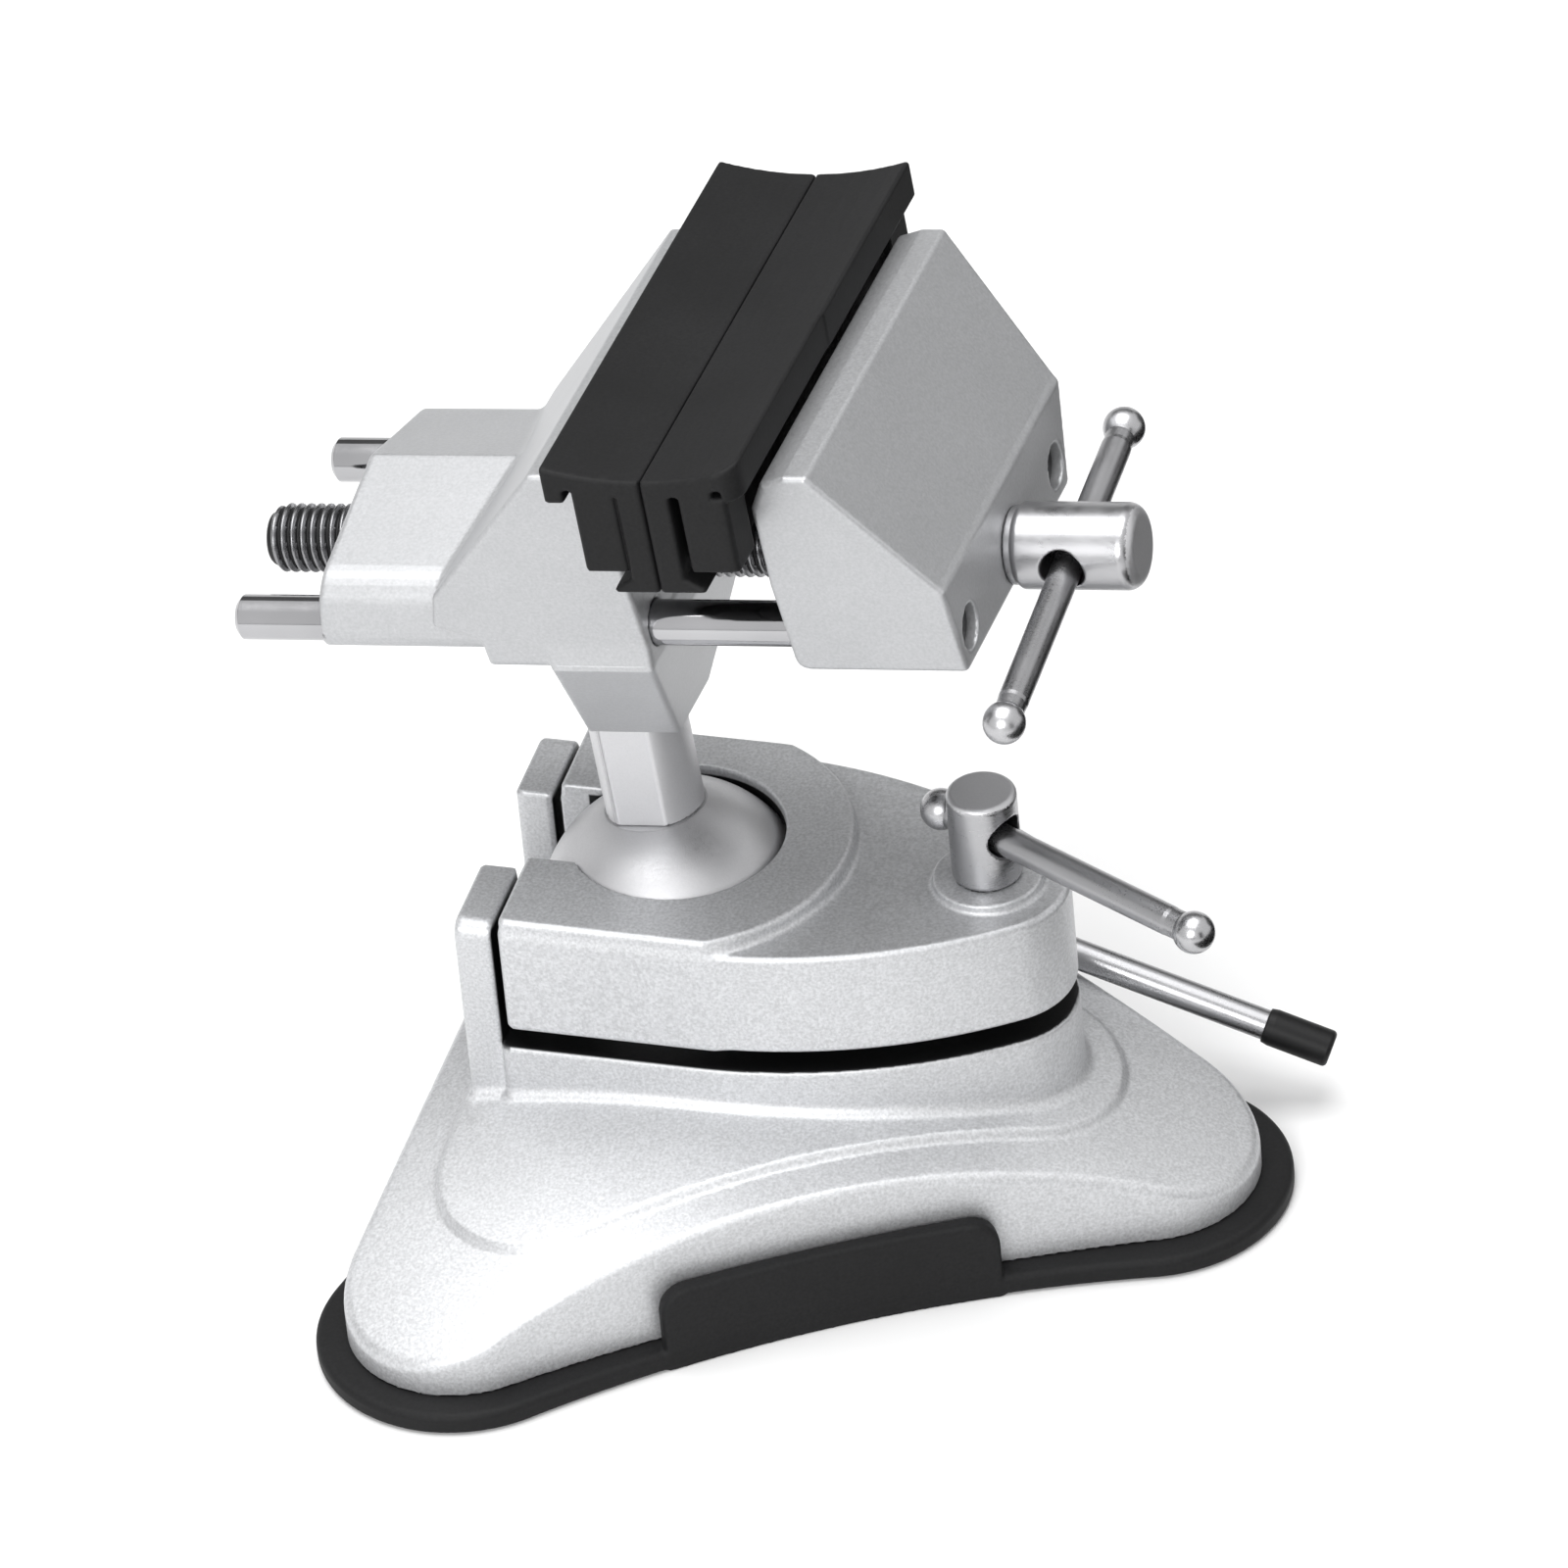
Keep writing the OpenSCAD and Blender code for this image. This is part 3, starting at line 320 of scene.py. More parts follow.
def netted(field, low, high, step):
    """Points and four-sided faces of the surface where a distance field is zero. Each grid cell that it
    passes through gets one point, at the mean of its edge crossings, and each grid edge that it crosses gets
    one face. Three Newton steps, p - f(p) g / |g|^2 with g the gradient, then put the points on the surface,
    and g is their normal."""
    low, high, step = (np.array(v, float) for v in (low, high, step))
    lines = [np.arange(a, b + s, s) for a, b, s in zip(low, high, step)]
    x, y, z = np.meshgrid(*lines, indexing="ij", sparse=True)
    f = np.broadcast_to(field(x, y, z), (x.size, y.size, z.size))
    inside = f < 0
    cells = np.array(f.shape) - 1
    corners = [(i, j, k) for i in (0, 1) for j in (0, 1) for k in (0, 1)]
    part = [tuple(slice(c[a], c[a] + cells[a]) for a in range(3)) for c in corners]
    filled = sum(inside[p].astype(np.int8) for p in part)
    mixed = (filled > 0) & (filled < 8)
    number = np.full(mixed.shape, -1)
    number[mixed] = np.arange(mixed.sum())
    value = np.stack([f[p][mixed] for p in part], 1)
    total = np.zeros((len(value), 3))
    hits = np.zeros((len(value), 1))
    unit = np.eye(3, dtype=int)
    for a in range(3):
        for i, c in enumerate(corners):
            if c[a] == 0:
                j = corners.index(tuple(np.array(c) + unit[a]))
                v0, v1 = value[:, i:i + 1], value[:, j:j + 1]
                crossed = (v0 < 0) != (v1 < 0)
                share = np.where(crossed, v0 / np.where(crossed, v0 - v1, 1.0), 0.0)
                total += crossed * (np.array(c) + share * unit[a])
                hits += crossed
    points = low + (np.argwhere(mixed) + total / hits) * step
    small = 0.02
    for _ in range(3):
        slope = np.stack([
            (field(*(points + small * e).T) - field(*(points - small * e).T)) / (2 * small) for e in unit
        ], 1)
        size = np.maximum((slope ** 2).sum(1, keepdims=True), 0.2)
        away = np.clip(field(*points.T)[:, None], -step.max(), step.max())
        points = points - away * slope / size
    faces = []
    for a in range(3):
        b, c = (a + 1) % 3, (a + 2) % 3
        here = np.take(inside, np.arange(cells[a]), axis=a)
        there = np.take(inside, np.arange(1, cells[a] + 1), axis=a)
        edge = np.argwhere(here != there)
        edge = edge[(edge[:, [b, c]] > 0).all(1) & (edge[:, b] < cells[b]) & (edge[:, c] < cells[c])]
        around = (0 * unit[b], unit[b], unit[b] + unit[c], unit[c])
        ring = np.stack([number[tuple((edge - s).T)] for s in around], 1)
        outward = here[tuple(edge.T)]
        faces.append(np.where(outward[:, None], ring, ring[:, ::-1]))
    return points, np.concatenate(faces), slope


def solid(name, points, faces, normals=None):
    """A smooth mesh object at the origin, in metres, from points in millimetres and faces of one size."""
    mesh = bpy.data.meshes.new(name)
    mesh.vertices.add(len(points))
    mesh.vertices.foreach_set("co", (points * MM).astype(np.float32).ravel())
    mesh.loops.add(faces.size)
    mesh.loops.foreach_set("vertex_index", faces.astype(np.int32).ravel())
    mesh.polygons.add(len(faces))
    mesh.polygons.foreach_set("loop_start", np.arange(0, faces.size, faces.shape[1], dtype=np.int32))
    mesh.polygons.foreach_set("use_smooth", np.ones(len(faces), bool))
    mesh.update(calc_edges=True)
    mesh.validate()
    if normals is not None and len(mesh.vertices) == len(normals):
        unit_normals = normals / np.maximum(np.linalg.norm(normals, axis=1, keepdims=True), 1e-9)
        mesh.normals_split_custom_set_from_vertices(unit_normals.astype(np.float32))
    obj = bpy.data.objects.new(name, mesh)
    bpy.context.scene.collection.objects.link(obj)
    return obj


def finish_piece(obj, body, slot_name, material, *nodes):
    """Gives a piece its material and its body, and hides the CAD nodes that it stands for; slot_name is not
    used.
    """
    obj.data.materials.append(material)
    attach(obj, body)
    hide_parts(*nodes)


def sand_paint(name, evenness, relief, level):
    """Silver spray paint with a sand texture over a casting. The grit is about 0.35 mm, drawn at 0.45 mm so
    that it shows, and its flakes give a fine light and dark speckle; slow tone changes are the uneven spray.
    Evenness is how much of the speckle is left out, relief how strong the bump is, level how light it is."""
    material, tree, output = empty_material(name)
    place = add(tree, "ShaderNodeTexCoord").outputs["Object"]
    apart = add(tree, "ShaderNodeSeparateXYZ", {0: place})
    x, z = apart.outputs[0], apart.outputs[2]
    grit = add(tree, "ShaderNodeTexNoise", {
        "Vector": place, "Scale": pattern_scale(0.4545), "Detail": 2.0, "Roughness": 0.6,
    })
    spray = add(tree, "ShaderNodeTexNoise", {"Vector": place, "Scale": pattern_scale(14.3), "Detail": 3.0})
    flakes = add(tree, "ShaderNodeTexVoronoi", {"Vector": place, "Scale": pattern_scale(0.3846)})
    speckle = add(tree, "ShaderNodeValToRGB", {"Fac": grit.outputs["Fac"]})
    ramp = speckle.color_ramp.elements
    ramp[0].position, ramp[0].color = 0.32, colour("#abacae")
    ramp[1].position, ramp[1].color = 0.68, colour("#e0e1e3")
    tone = add(tree, "ShaderNodeMix", {
        0: evenness, 6: speckle.outputs["Color"], 7: colour("#c9cacc"),
    }, data_type="RGBA")
    uneven = add(tree, "ShaderNodeMapRange", {
        "Value": spray.outputs["Fac"], 3: 0.94 * level, 4: 1.05 * level,
    })
    spark = add(tree, "ShaderNodeMapRange", {
        "Value": flakes.outputs["Color"], 1: 0.9, 2: 1.0, 3: 1.0, 4: 1.12,
    })
    level_tone = add(tree, "ShaderNodeMath", {
        0: uneven.outputs[0], 1: spark.outputs[0],
    }, operation="MULTIPLY")
    final = add(tree, "ShaderNodeVectorMath", {
        0: tone.outputs[2], 1: level_tone.outputs[0],
    }, operation="MULTIPLY")

    def between(value, low, high, soft):
        """One inside a layer given in millimetres and zero outside it, with soft edges."""
        low, high, soft = low * MM, high * MM, soft * MM
        up = add(tree, "ShaderNodeMapRange", {"Value": value, 1: low - soft, 2: low})
        down = add(tree, "ShaderNodeMapRange", {"Value": value, 1: high, 2: high + soft, 3: 1.0, 4: 0.0})
        both = add(tree, "ShaderNodeMath", {0: up.outputs[0], 1: down.outputs[0]}, operation="MULTIPLY")
        return both.outputs[0]

    # Painted shade: the open joint under the cap, the posts beside it and the ball's socket are mixed to near
    # black.
    flat = add(tree, "ShaderNodeMath", {
        0: between(z, COLUMN_TOP - 0.1, 36.3, 0.2), 1: between(x, POST_RIGHT + 0.1, 60.0, 0.1),
    }, operation="MULTIPLY")
    upright = add(tree, "ShaderNodeMath", {
        0: between(x, POST_RIGHT - 0.1, -27.6, 0.1), 1: between(z, COLUMN_TOP - 0.1, 52.5, 0.8),
    }, operation="MULTIPLY")
    from_ball = add(tree, "ShaderNodeVectorMath", {
        0: place, 1: (BALL_AT[0] * MM, 0.0, 0.0),
    }, operation="SUBTRACT").outputs[0]
    sideways = add(tree, "ShaderNodeVectorMath", {0: from_ball, 1: (1.0, 1.0, 0.0)}, operation="MULTIPLY")
    away = add(tree, "ShaderNodeVectorMath", {0: sideways.outputs[0]}, operation="LENGTH").outputs["Value"]
    socket = add(tree, "ShaderNodeMath", {
        0: between(z, 45.0, 54.3, 0.3), 1: between(away, 0.0, 17.1, 0.2),
    }, operation="MULTIPLY")
    joint = add(tree, "ShaderNodeMath", {0: flat.outputs[0], 1: upright.outputs[0]}, operation="MAXIMUM")
    painted_gap_shade = add(tree, "ShaderNodeMath", {0: joint.outputs[0], 1: socket.outputs[0]}, operation="MAXIMUM")
    final = add(tree, "ShaderNodeMix", {
        0: painted_gap_shade.outputs[0], 6: final.outputs[0], 7: colour("#1c1c1d"),
    }, data_type="RGBA")
    rough = add(tree, "ShaderNodeMapRange", {"Value": grit.outputs["Fac"], 3: 0.36, 4: 0.56})
    bump = add(tree, "ShaderNodeBump", {
        "Height": grit.outputs["Fac"], "Strength": relief, "Distance": 0.06 * MM,
    })
    shader = add(tree, "ShaderNodeBsdfPrincipled", {
        "Base Color": final.outputs[2], "Metallic": 0.65, "Roughness": rough.outputs[0],
        "Normal": bump.outputs[0],
    })
    tree.links.new(shader.outputs[0], output.inputs[0])
    return material


silver_paint = sand_paint("sand_textured_silver_paint", 0.5, 0.35, 0.98)
base = solid("base_casting_shell", *netted(base_field, (-48, -69, 2.4), (78, 69, 55), (0.8, 0.8, 0.55)))
finish_piece(base, "base", "cast_silver", silver_paint, "base_casting")

# Suction pad: one moulding of soft black rubber under the casting, wider than it all round, with a tab that
# stands up against the skirt to peel the pad off the table. Its middle, drawn up by the plate, sinks flat
# when the plate comes down; here it is a piece of its own, with a mesh of its own.
PAD_LIFT = 2.91
PLATE_UNDER = PAD_T + PAD_LIFT
MIDDLE_R = 22.0
STUD_X = 24.57
PAD_R, PAD_SIDE, PAD_ROUND = 21.2, 44.7, 1.1
CHAMBER_R, CHAMBER_TOP_R = 20.5, 15.0
POCKET_R, POCKET_FLOOR = 6.6, 3.35
TAB_TURN = math.radians(30)
TAB_HALF, TAB_TOP, TAB_CORNER = 25.0, 13.5, 4.0
TAB_GAP = 0.3
RUBBER_EDGE = 0.8


def pad_field(x, y, z):
    """Lobed sheet with a round edge, the raised middle and the tab, less the chamber below."""
    outline = lobed(x, y, LOBE_AT, PAD_R, PAD_SIDE)
    sheet = meet(outline, slab(z, 0.0, PAD_T), PAD_ROUND)
    taper = CHAMBER_R - CHAMBER_TOP_R
    long = math.hypot(taper, PAD_LIFT)
    around = np.hypot(x - STUD_X, y)
    side = ((around - CHAMBER_R) * PAD_LIFT + z * taper) / long
    chamber = np.maximum(side, z - PAD_LIFT)
    raised = meet(side - PAD_T * taper / long, slab(z, 0.0, PLATE_UNDER), RUBBER_EDGE)
    pocket = np.maximum(around - POCKET_R, POCKET_FLOOR - z)
    sideways = x * math.cos(TAB_TURN) + y * math.sin(TAB_TURN)
    out = x * math.cos(2 * TAB_TURN) - y * math.sin(2 * TAB_TURN)
    wide = meet(np.abs(sideways) - TAB_HALF, z - TAB_TOP, TAB_CORNER)
    behind = TAB_GAP - lobed(x, y, LOBE_AT, SKIRT_R, SKIRT_SIDE)
    tab = meet(meet(wide, np.maximum(outline, behind), RUBBER_EDGE), -np.minimum(z, out), 0.1)
    body = join(join(sheet, raised, 1.0), tab, 0.5)
    return np.maximum(body, -np.minimum(chamber, pocket))


def moulded_rubber(name, dark, light, gloss):
    """Matt black moulded rubber: a fine 0.5 mm grain, slow cloudy tone at 17 mm, and a soft wide gloss."""
    material, tree, output = empty_material(name)
    place = add(tree, "ShaderNodeTexCoord").outputs["Object"]
    grain = add(tree, "ShaderNodeTexNoise", {"Vector": place, "Scale": pattern_scale(0.5), "Detail": 3.0})
    cloud = add(tree, "ShaderNodeTexNoise", {"Vector": place, "Scale": pattern_scale(16.667), "Detail": 4.0})
    both = add(tree, "ShaderNodeMath", {
        0: grain.outputs["Fac"], 1: cloud.outputs["Fac"],
    }, operation="MULTIPLY")
    share = add(tree, "ShaderNodeMapRange", {"Value": both.outputs[0], 1: 0.12, 2: 0.4})
    tone = add(tree, "ShaderNodeMix", {
        0: share.outputs[0], 6: colour(dark), 7: colour(light),
    }, data_type="RGBA")
    rough = add(tree, "ShaderNodeMapRange", {
        "Value": cloud.outputs["Fac"], 3: gloss - 0.08, 4: gloss + 0.1,
    })
    bump = add(tree, "ShaderNodeBump", {
        "Height": grain.outputs["Fac"], "Strength": 0.25, "Distance": 0.05 * MM,
    })
    shader = add(tree, "ShaderNodeBsdfPrincipled", {
        "Base Color": tone.outputs[2], "Roughness": rough.outputs[0], "IOR": 1.52,
        "Normal": bump.outputs[0], "Specular IOR Level": 0.22,
    })
    tree.links.new(shader.outputs[0], output.inputs[0])
    return material


black_rubber = moulded_rubber("moulded_black_rubber", "#0e0e0f", "#181819", 0.62)


def pad_part(keeps_middle):
    """The field of the pad's middle, or of the rest of it, up to the line where the two touch."""
    sign, edge = (1, MIDDLE_R - FIT) if keeps_middle else (-1, MIDDLE_R + FIT)
    return lambda x, y, z: np.maximum(pad_field(x, y, z), sign * (np.hypot(x - STUD_X, y) - edge))


for name, keeps_middle, low, high, step in (
    ("rubber_suction_pad", False, (-53, -74, -0.7), (82, 74, 15), (0.8, 0.8, 0.35)),
    ("rubber_pad_middle", True, (1, -23.5, -0.7), (48, 23.5, 7.5), (0.6, 0.6, 0.35)),
):
    pad_shell = netted(pad_part(keeps_middle), low, high, step)
    pad_shell[0][:, 2] = np.maximum(pad_shell[0][:, 2], 0.0)
    pad = solid(name, *pad_shell)
    finish_piece(pad, "base", "black_rubber", black_rubber, "suction_pad")
    if keeps_middle:
        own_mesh(pad)

# Clamp cap: a die casting with the same paint, drop-shaped like the column. It holds the ball from above, is
# open towards the posts, and has a round plateau about the ball and a ring under the clamp screw.
CAP_BOTTOM, CAP_TOP, PLATEAU = 36.25, 53.4, 55.8
CAP_LEFT, CAP_EDGE = 27.5, 0.9
PLATEAU_R, PLATEAU_FILLET = 26.6, 1.1
RING_R, RING_RISE, RING_EDGE, RING_FILLET = 8.0, 1.5, 0.5, 0.7
LIP_R, LIP_SHIFT, LIP_FLOOR = 15.6, (0.9, 0.6), 50.0
SLOT_HALF = 8.6
SCREW_HOLE_R = 4.3


def cap_field(x, y, z):
    """Drop-shaped block with a plateau and a ring, less the ball, the neck's slot and the screw's hole."""
    from_ball = x - BALL_AT[0]
    outline = drop(x, y, CAP_LEFT)
    body = meet(outline, slab(z, CAP_BOTTOM, CAP_TOP), CAP_EDGE)
    crown = np.where(from_ball < 0, np.abs(y) - PLATEAU_R, np.hypot(from_ball, y) - PLATEAU_R)
    crown = meet(np.maximum(outline, crown), slab(z, CAP_BOTTOM, PLATEAU), CAP_EDGE)
    body = join(body, crown, PLATEAU_FILLET)
    ring = np.hypot(x - CLAMP_X, y) - RING_R
    body = join(body, meet(ring, slab(z, CAP_BOTTOM, CAP_TOP + RING_RISE), RING_EDGE), RING_FILLET)
    body = meet(body, -ball_gap(x, y, z, FIT), 0.5)
    below = np.maximum(np.hypot(from_ball, y) - BALL_R - FIT, z - BALL_AT[2])
    lip = np.maximum(np.hypot(from_ball - LIP_SHIFT[0], y - LIP_SHIFT[1]) - LIP_R, LIP_FLOOR - z)
    slot = np.maximum(np.abs(y) - SLOT_HALF, from_ball)
    body = meet(body, -np.minimum(np.minimum(below, lip), slot), SOFT_EDGE)
    return np.maximum(body, SCREW_HOLE_R - np.hypot(x - CLAMP_X, y))


cap = solid("clamp_cap_casting", *netted(cap_field, (-29, -25.5, 35), (52, 25.5, 57.5), (0.5, 0.5, 0.4)))
finish_piece(cap, "cap", "cast_silver", silver_paint, "clamp_cap")

# Clamp screw: turned steel, nickel plated, with a cross-drilled head that has rounded edges and stands on the
# cap's ring, and a shank that screws into the column.
CLAMP_SEAT = 54.9
CLAMP_HOLE_Z = 63.5
CLAMP_BAR_TURN = math.radians(-26.9)
CLAMP_HEAD_R, CLAMP_HEAD_TOP, HEAD_EDGE = 5.1, 69.6, 0.9
SHANK_R, SHANK_END, SHANK_TOP = 4.0, 18.8, 60.0
CROSS_HOLE_R, CROSS_HOLE_EDGE = 3.2, 0.35


def clamp_screw_field(x, y, z):
    """Head and shank on one axis, less the cross hole, whose edge is countersunk."""
    around = np.hypot(x - CLAMP_X, y)
    head = meet(around - CLAMP_HEAD_R, slab(z, CLAMP_SEAT + FIT, CLAMP_HEAD_TOP), HEAD_EDGE)
    shank = meet(around - SHANK_R, slab(z, SHANK_END, SHANK_TOP), 0.6)
    body = np.minimum(head, shank)
    across = (x - CLAMP_X) * math.sin(CLAMP_BAR_TURN) - y * math.cos(CLAMP_BAR_TURN)
    hole = np.hypot(across, z - CLAMP_HOLE_Z) - CROSS_HOLE_R
    return meet(body, -hole, CROSS_HOLE_EDGE)


def bright_steel(name, tint, rough, mark, streak=(1, 1, 1)):
    """Nickel-plated or polished steel. Marks of a size in millimetres vary the gloss and make a faint bump;
    streak is how many times finer they are along each axis, as turning leaves them, and a slow cloud at 11 mm
    is handling haze. The gloss is rough times 0.8 to 1.3, and the tint goes from one tone to another."""
    material, tree, output = empty_material(name)
    place = add(tree, "ShaderNodeTexCoord").outputs["Object"]
    marks_at = add(tree, "ShaderNodeMapping", {"Vector": place, "Scale": streak})
    marks = add(tree, "ShaderNodeTexNoise", {
        "Vector": marks_at.outputs[0], "Scale": pattern_scale(mark), "Detail": 3.0,
    })
    haze = add(tree, "ShaderNodeTexNoise", {"Vector": place, "Scale": pattern_scale(11.111), "Detail": 1.0})
    mixed = add(tree, "ShaderNodeMath", {0: marks.outputs["Fac"], 1: haze.outputs["Fac"]}, operation="ADD")
    gloss = add(tree, "ShaderNodeMapRange", {
        "Value": mixed.outputs[0], 1: 0.7, 2: 1.3, 3: rough * 0.8, 4: rough * 1.3,
    })
    tone = add(tree, "ShaderNodeMix", {
        0: haze.outputs["Fac"], 6: colour(tint[0]), 7: colour(tint[1]),
    }, data_type="RGBA")
    bump = add(tree, "ShaderNodeBump", {
        "Height": marks.outputs["Fac"], "Strength": 0.04, "Distance": 0.02 * MM,
    })
    shader = add(tree, "ShaderNodeBsdfPrincipled", {
        "Base Color": tone.outputs[2], "Metallic": 1.0, "Roughness": gloss.outputs[0],
        "Normal": bump.outputs[0],
    })
    tree.links.new(shader.outputs[0], output.inputs[0])
    return material


turned_nickel = bright_steel("turned_nickel_plate", ("#a9a9ab", "#b3b3b5"), 0.3, 2.0, (1, 1, 6))
clamp_shell = netted(clamp_screw_field, (32, -7, 18), (45.5, 7, 70.5), (0.3, 0.3, 0.3))
clamp = solid("clamp_screw_turned", *clamp_shell)
finish_piece(clamp, "clamp_head", "bright_steel", turned_nickel, "clamp_screw")

# Clamp tommy bar: a drawn steel rod that slides in the head's cross hole, a little thinner at each end, where
# a polished steel ball is pressed on.
BAR_R, NECKED_R, BAR_BALL_R = 2.2, 2.12, 3.05
NECKED_TO, BAR_FROM = 3.9, 4.6
FLAT_ANGLE = 0.62
BAR_DROP = 0.95
AXIS_R = 1e-4


def eased(corners, radii, steps=5):
    """Points and outward normals of a line through corners, each rounded with an arc of its radius that
    touches both sides: the arc starts r tan(turn / 2) before the corner. Outward is to the right of the way
    along the line."""
    corners = np.array(corners, float)
    points, normals = [corners[0]], []
    for k in range(1, len(corners) - 1):
        into, out = corners[k] - corners[k - 1], corners[k + 1] - corners[k]
        longest = 0.49 * min(np.hypot(*into), np.hypot(*out))
        into, out = into / np.hypot(*into), out / np.hypot(*out)
        turn = math.atan2(into[0] * out[1] - into[1] * out[0], into @ out)
        r = min(radii[k], longest / max(math.tan(abs(turn) / 2), 1e-6))
        side = math.copysign(1.0, turn)
        angles = turn * np.linspace(0, 1, steps)
        first = np.array([into[1], -into[0]])
        cos, sin = np.cos(angles), np.sin(angles)
        spun = np.stack([first[0] * cos - first[1] * sin, first[0] * sin + first[1] * cos], 1)
        start = corners[k] - into * r * math.tan(abs(turn) / 2)
        if k == 1:
            normals.append(first)
        points.extend(start - side * r * first + side * r * spun)
        normals.extend(spun)
    last = corners[-1] - corners[-2]
    points.append(corners[-1])
    normals.append(np.array([last[1], -last[0]]) / np.hypot(*last))
    return np.array(points), np.array(normals)


def ring_faces(sides, rows):
    """Faces of a shell of sides by rows points: four points of neighbours each, k rows + i for point i of
    line k, and strips across the first and the last ring."""
    k, i = np.meshgrid(np.arange(sides), np.arange(rows - 1), indexing="ij")
    here, after = k * rows + i, (k + 1) % sides * rows + i
    faces = [np.stack([here, after, after + 1, here + 1], -1).reshape(-1, 4)]
    for row, turn in ((0, -1), (rows - 1, 1)):
        ring = (np.arange(sides) * rows + row)[::turn]
        i = np.arange(sides // 2 - 1)
        faces.append(np.stack([ring[i], ring[i + 1], ring[sides - 2 - i], ring[sides - 1 - i]], 1))
    return np.concatenate(faces)


def turned(points, normals, place, sides=48):
    """Points, faces and normals of a profile of (radius, height) carried round an axis: (r cos t, r sin t, h)
    set in its place by a matrix. It starts and ends on the axis, where its ring is a very small one."""
    t = np.linspace(0, 2 * np.pi, sides, endpoint=False)[:, None]
    cos, sin = np.cos(t), np.sin(t)
    radius = np.maximum(points[:, 0], AXIS_R)
    grid = np.stack([radius * cos, radius * sin, points[:, 1] + 0 * t], -1).reshape(-1, 3)
    lean = np.stack([normals[:, 0] * cos, normals[:, 0] * sin, normals[:, 1] + 0 * t], -1).reshape(-1, 3)
    m = np.array(place)
    return grid @ m[:3, :3].T + m[:3, 3], ring_faces(sides, len(points)), lean @ m[:3, :3].T


def along(origin, direction):
    """Matrix whose Z axis runs along a direction from an origin."""
    z = np.array(direction, float)
    z /= np.linalg.norm(z)
    x = np.cross([0.0, 0.0, 1.0], z) if abs(z[2]) < 0.9 else np.cross([1.0, 0.0, 0.0], z)
    x /= np.linalg.norm(x)
    m = np.eye(4)
    m[:3, 0], m[:3, 1], m[:3, 2], m[:3, 3] = x, np.cross(z, x), z, origin
    return m


def several(parts):
    """Points, faces and normals of several shells in one."""
    counts = np.cumsum([0] + [len(p[0]) for p in parts])
    return (
        np.concatenate([p[0] for p in parts]),
        np.concatenate([p[1] + n for p, n in zip(parts, counts)]),
        np.concatenate([p[2] for p in parts]),
    )


def tommy_bar(place, start, length):
    """The rod between its two balls, and the two balls, which are round with a flat where the rod goes in."""
    inner = BAR_BALL_R - 1.5
    end = start + length
    corners = [
        (0, start + inner), (NECKED_R, start + inner), (NECKED_R, start + NECKED_TO),
        (BAR_R, start + BAR_FROM), (BAR_R, end - BAR_FROM), (NECKED_R, end - NECKED_TO),
        (NECKED_R, end - inner), (0, end - inner),
    ]
    rod = turned(*eased(corners, [0, 0.1, 0.8, 1.5, 1.5, 0.8, 0.1, 0]), place)
    balls = []
    for middle, way in ((start, 1), (end, -1)):
        a = np.linspace(-np.pi / 2, np.pi / 2 - FLAT_ANGLE, 22)
        lean = np.stack([np.cos(a), np.sin(a)], 1)
        profile = BAR_BALL_R * lean
        profile = np.concatenate([profile, [[NECKED_R + 0.02, profile[-1, 1]], [0, profile[-1, 1]]]])
        lean = np.concatenate([lean, [[0, 1], [0, 1]]])
        if way < 0:
            profile, lean = profile[::-1] * [1, -1], lean[::-1] * [1, -1]
        balls.append(turned(profile + [0, middle], lean, place))
    return rod, several(balls)


drawn_steel = bright_steel("drawn_steel_rod", ("#9a9a9c", "#a8a8aa"), 0.3, 0.3125)
polished_ball = bright_steel("polished_steel_ball", ("#acacae", "#bababc"), 0.28, 0.3333)
clamp_way = (math.cos(CLAMP_BAR_TURN), math.sin(CLAMP_BAR_TURN), 0.0)
clamp_place = along((CLAMP_X, 0.0, CLAMP_HOLE_Z - BAR_DROP), clamp_way)
rod, balls = tommy_bar(clamp_place, -8.2, 47.8)
finish_piece(solid("clamp_tommy_bar", *rod), "clamp_tommy", "bright_steel", drawn_steel, "clamp_bar")
end_balls = solid("clamp_bar_end_balls", *balls)
finish_piece(end_balls, "clamp_tommy", "bright_steel", polished_ball, "clamp_bar_balls")

# Suction lever: a straight drawn steel rod screwed into the cam shaft's head, with a black rubber cap pushed
# on its end. The cam shaft is turned steel and comes out of the column's far side.
LEVER_SLOPE = math.radians(18.7)
LEVER_R, STUB_R = 2.25, 1.9
LEVER_FROM, GRIP_FROM, LEVER_END = 4.05, 47.3, 55.5
GRIP_R, GRIP_END = 2.75, 57.5
SHAFT_R, SHAFT_END = 3.5, -12.95
SHAFT_HEAD_R, SHAFT_HEAD_Y, SHAFT_HEAD_HALF = 4.0, 25.0, 2.75
CRANK_HALF, PIN_R = 3.5, 1.65
PIN_AT = (CAM_AT[0] - 1.058, CAM_AT[1] + 1.456)
CLIP_GROOVE, GROOVE_R = (5.7, 6.7), 3.0
lever_way = (math.cos(LEVER_SLOPE), 0.0, -math.sin(LEVER_SLOPE))
lever_place = along((CAM_AT[0], SHAFT_HEAD_Y, CAM_AT[1]), lever_way)
lever_corners = [
    (0, -1.1), (STUB_R, -1.1), (STUB_R, LEVER_FROM), (LEVER_R, LEVER_FROM + 0.35),
    (LEVER_R, GRIP_FROM), (STUB_R, GRIP_FROM + 0.3), (STUB_R, LEVER_END), (0, LEVER_END),
]
lever = turned(*eased(lever_corners, [0, 0.2, 0.2, 0.3, 0.2, 0.1, 0.3, 0]), lever_place)
finish_piece(solid("suction_lever_rod", *lever), "suction_lever", "bright_steel", drawn_steel, "lever_rod")
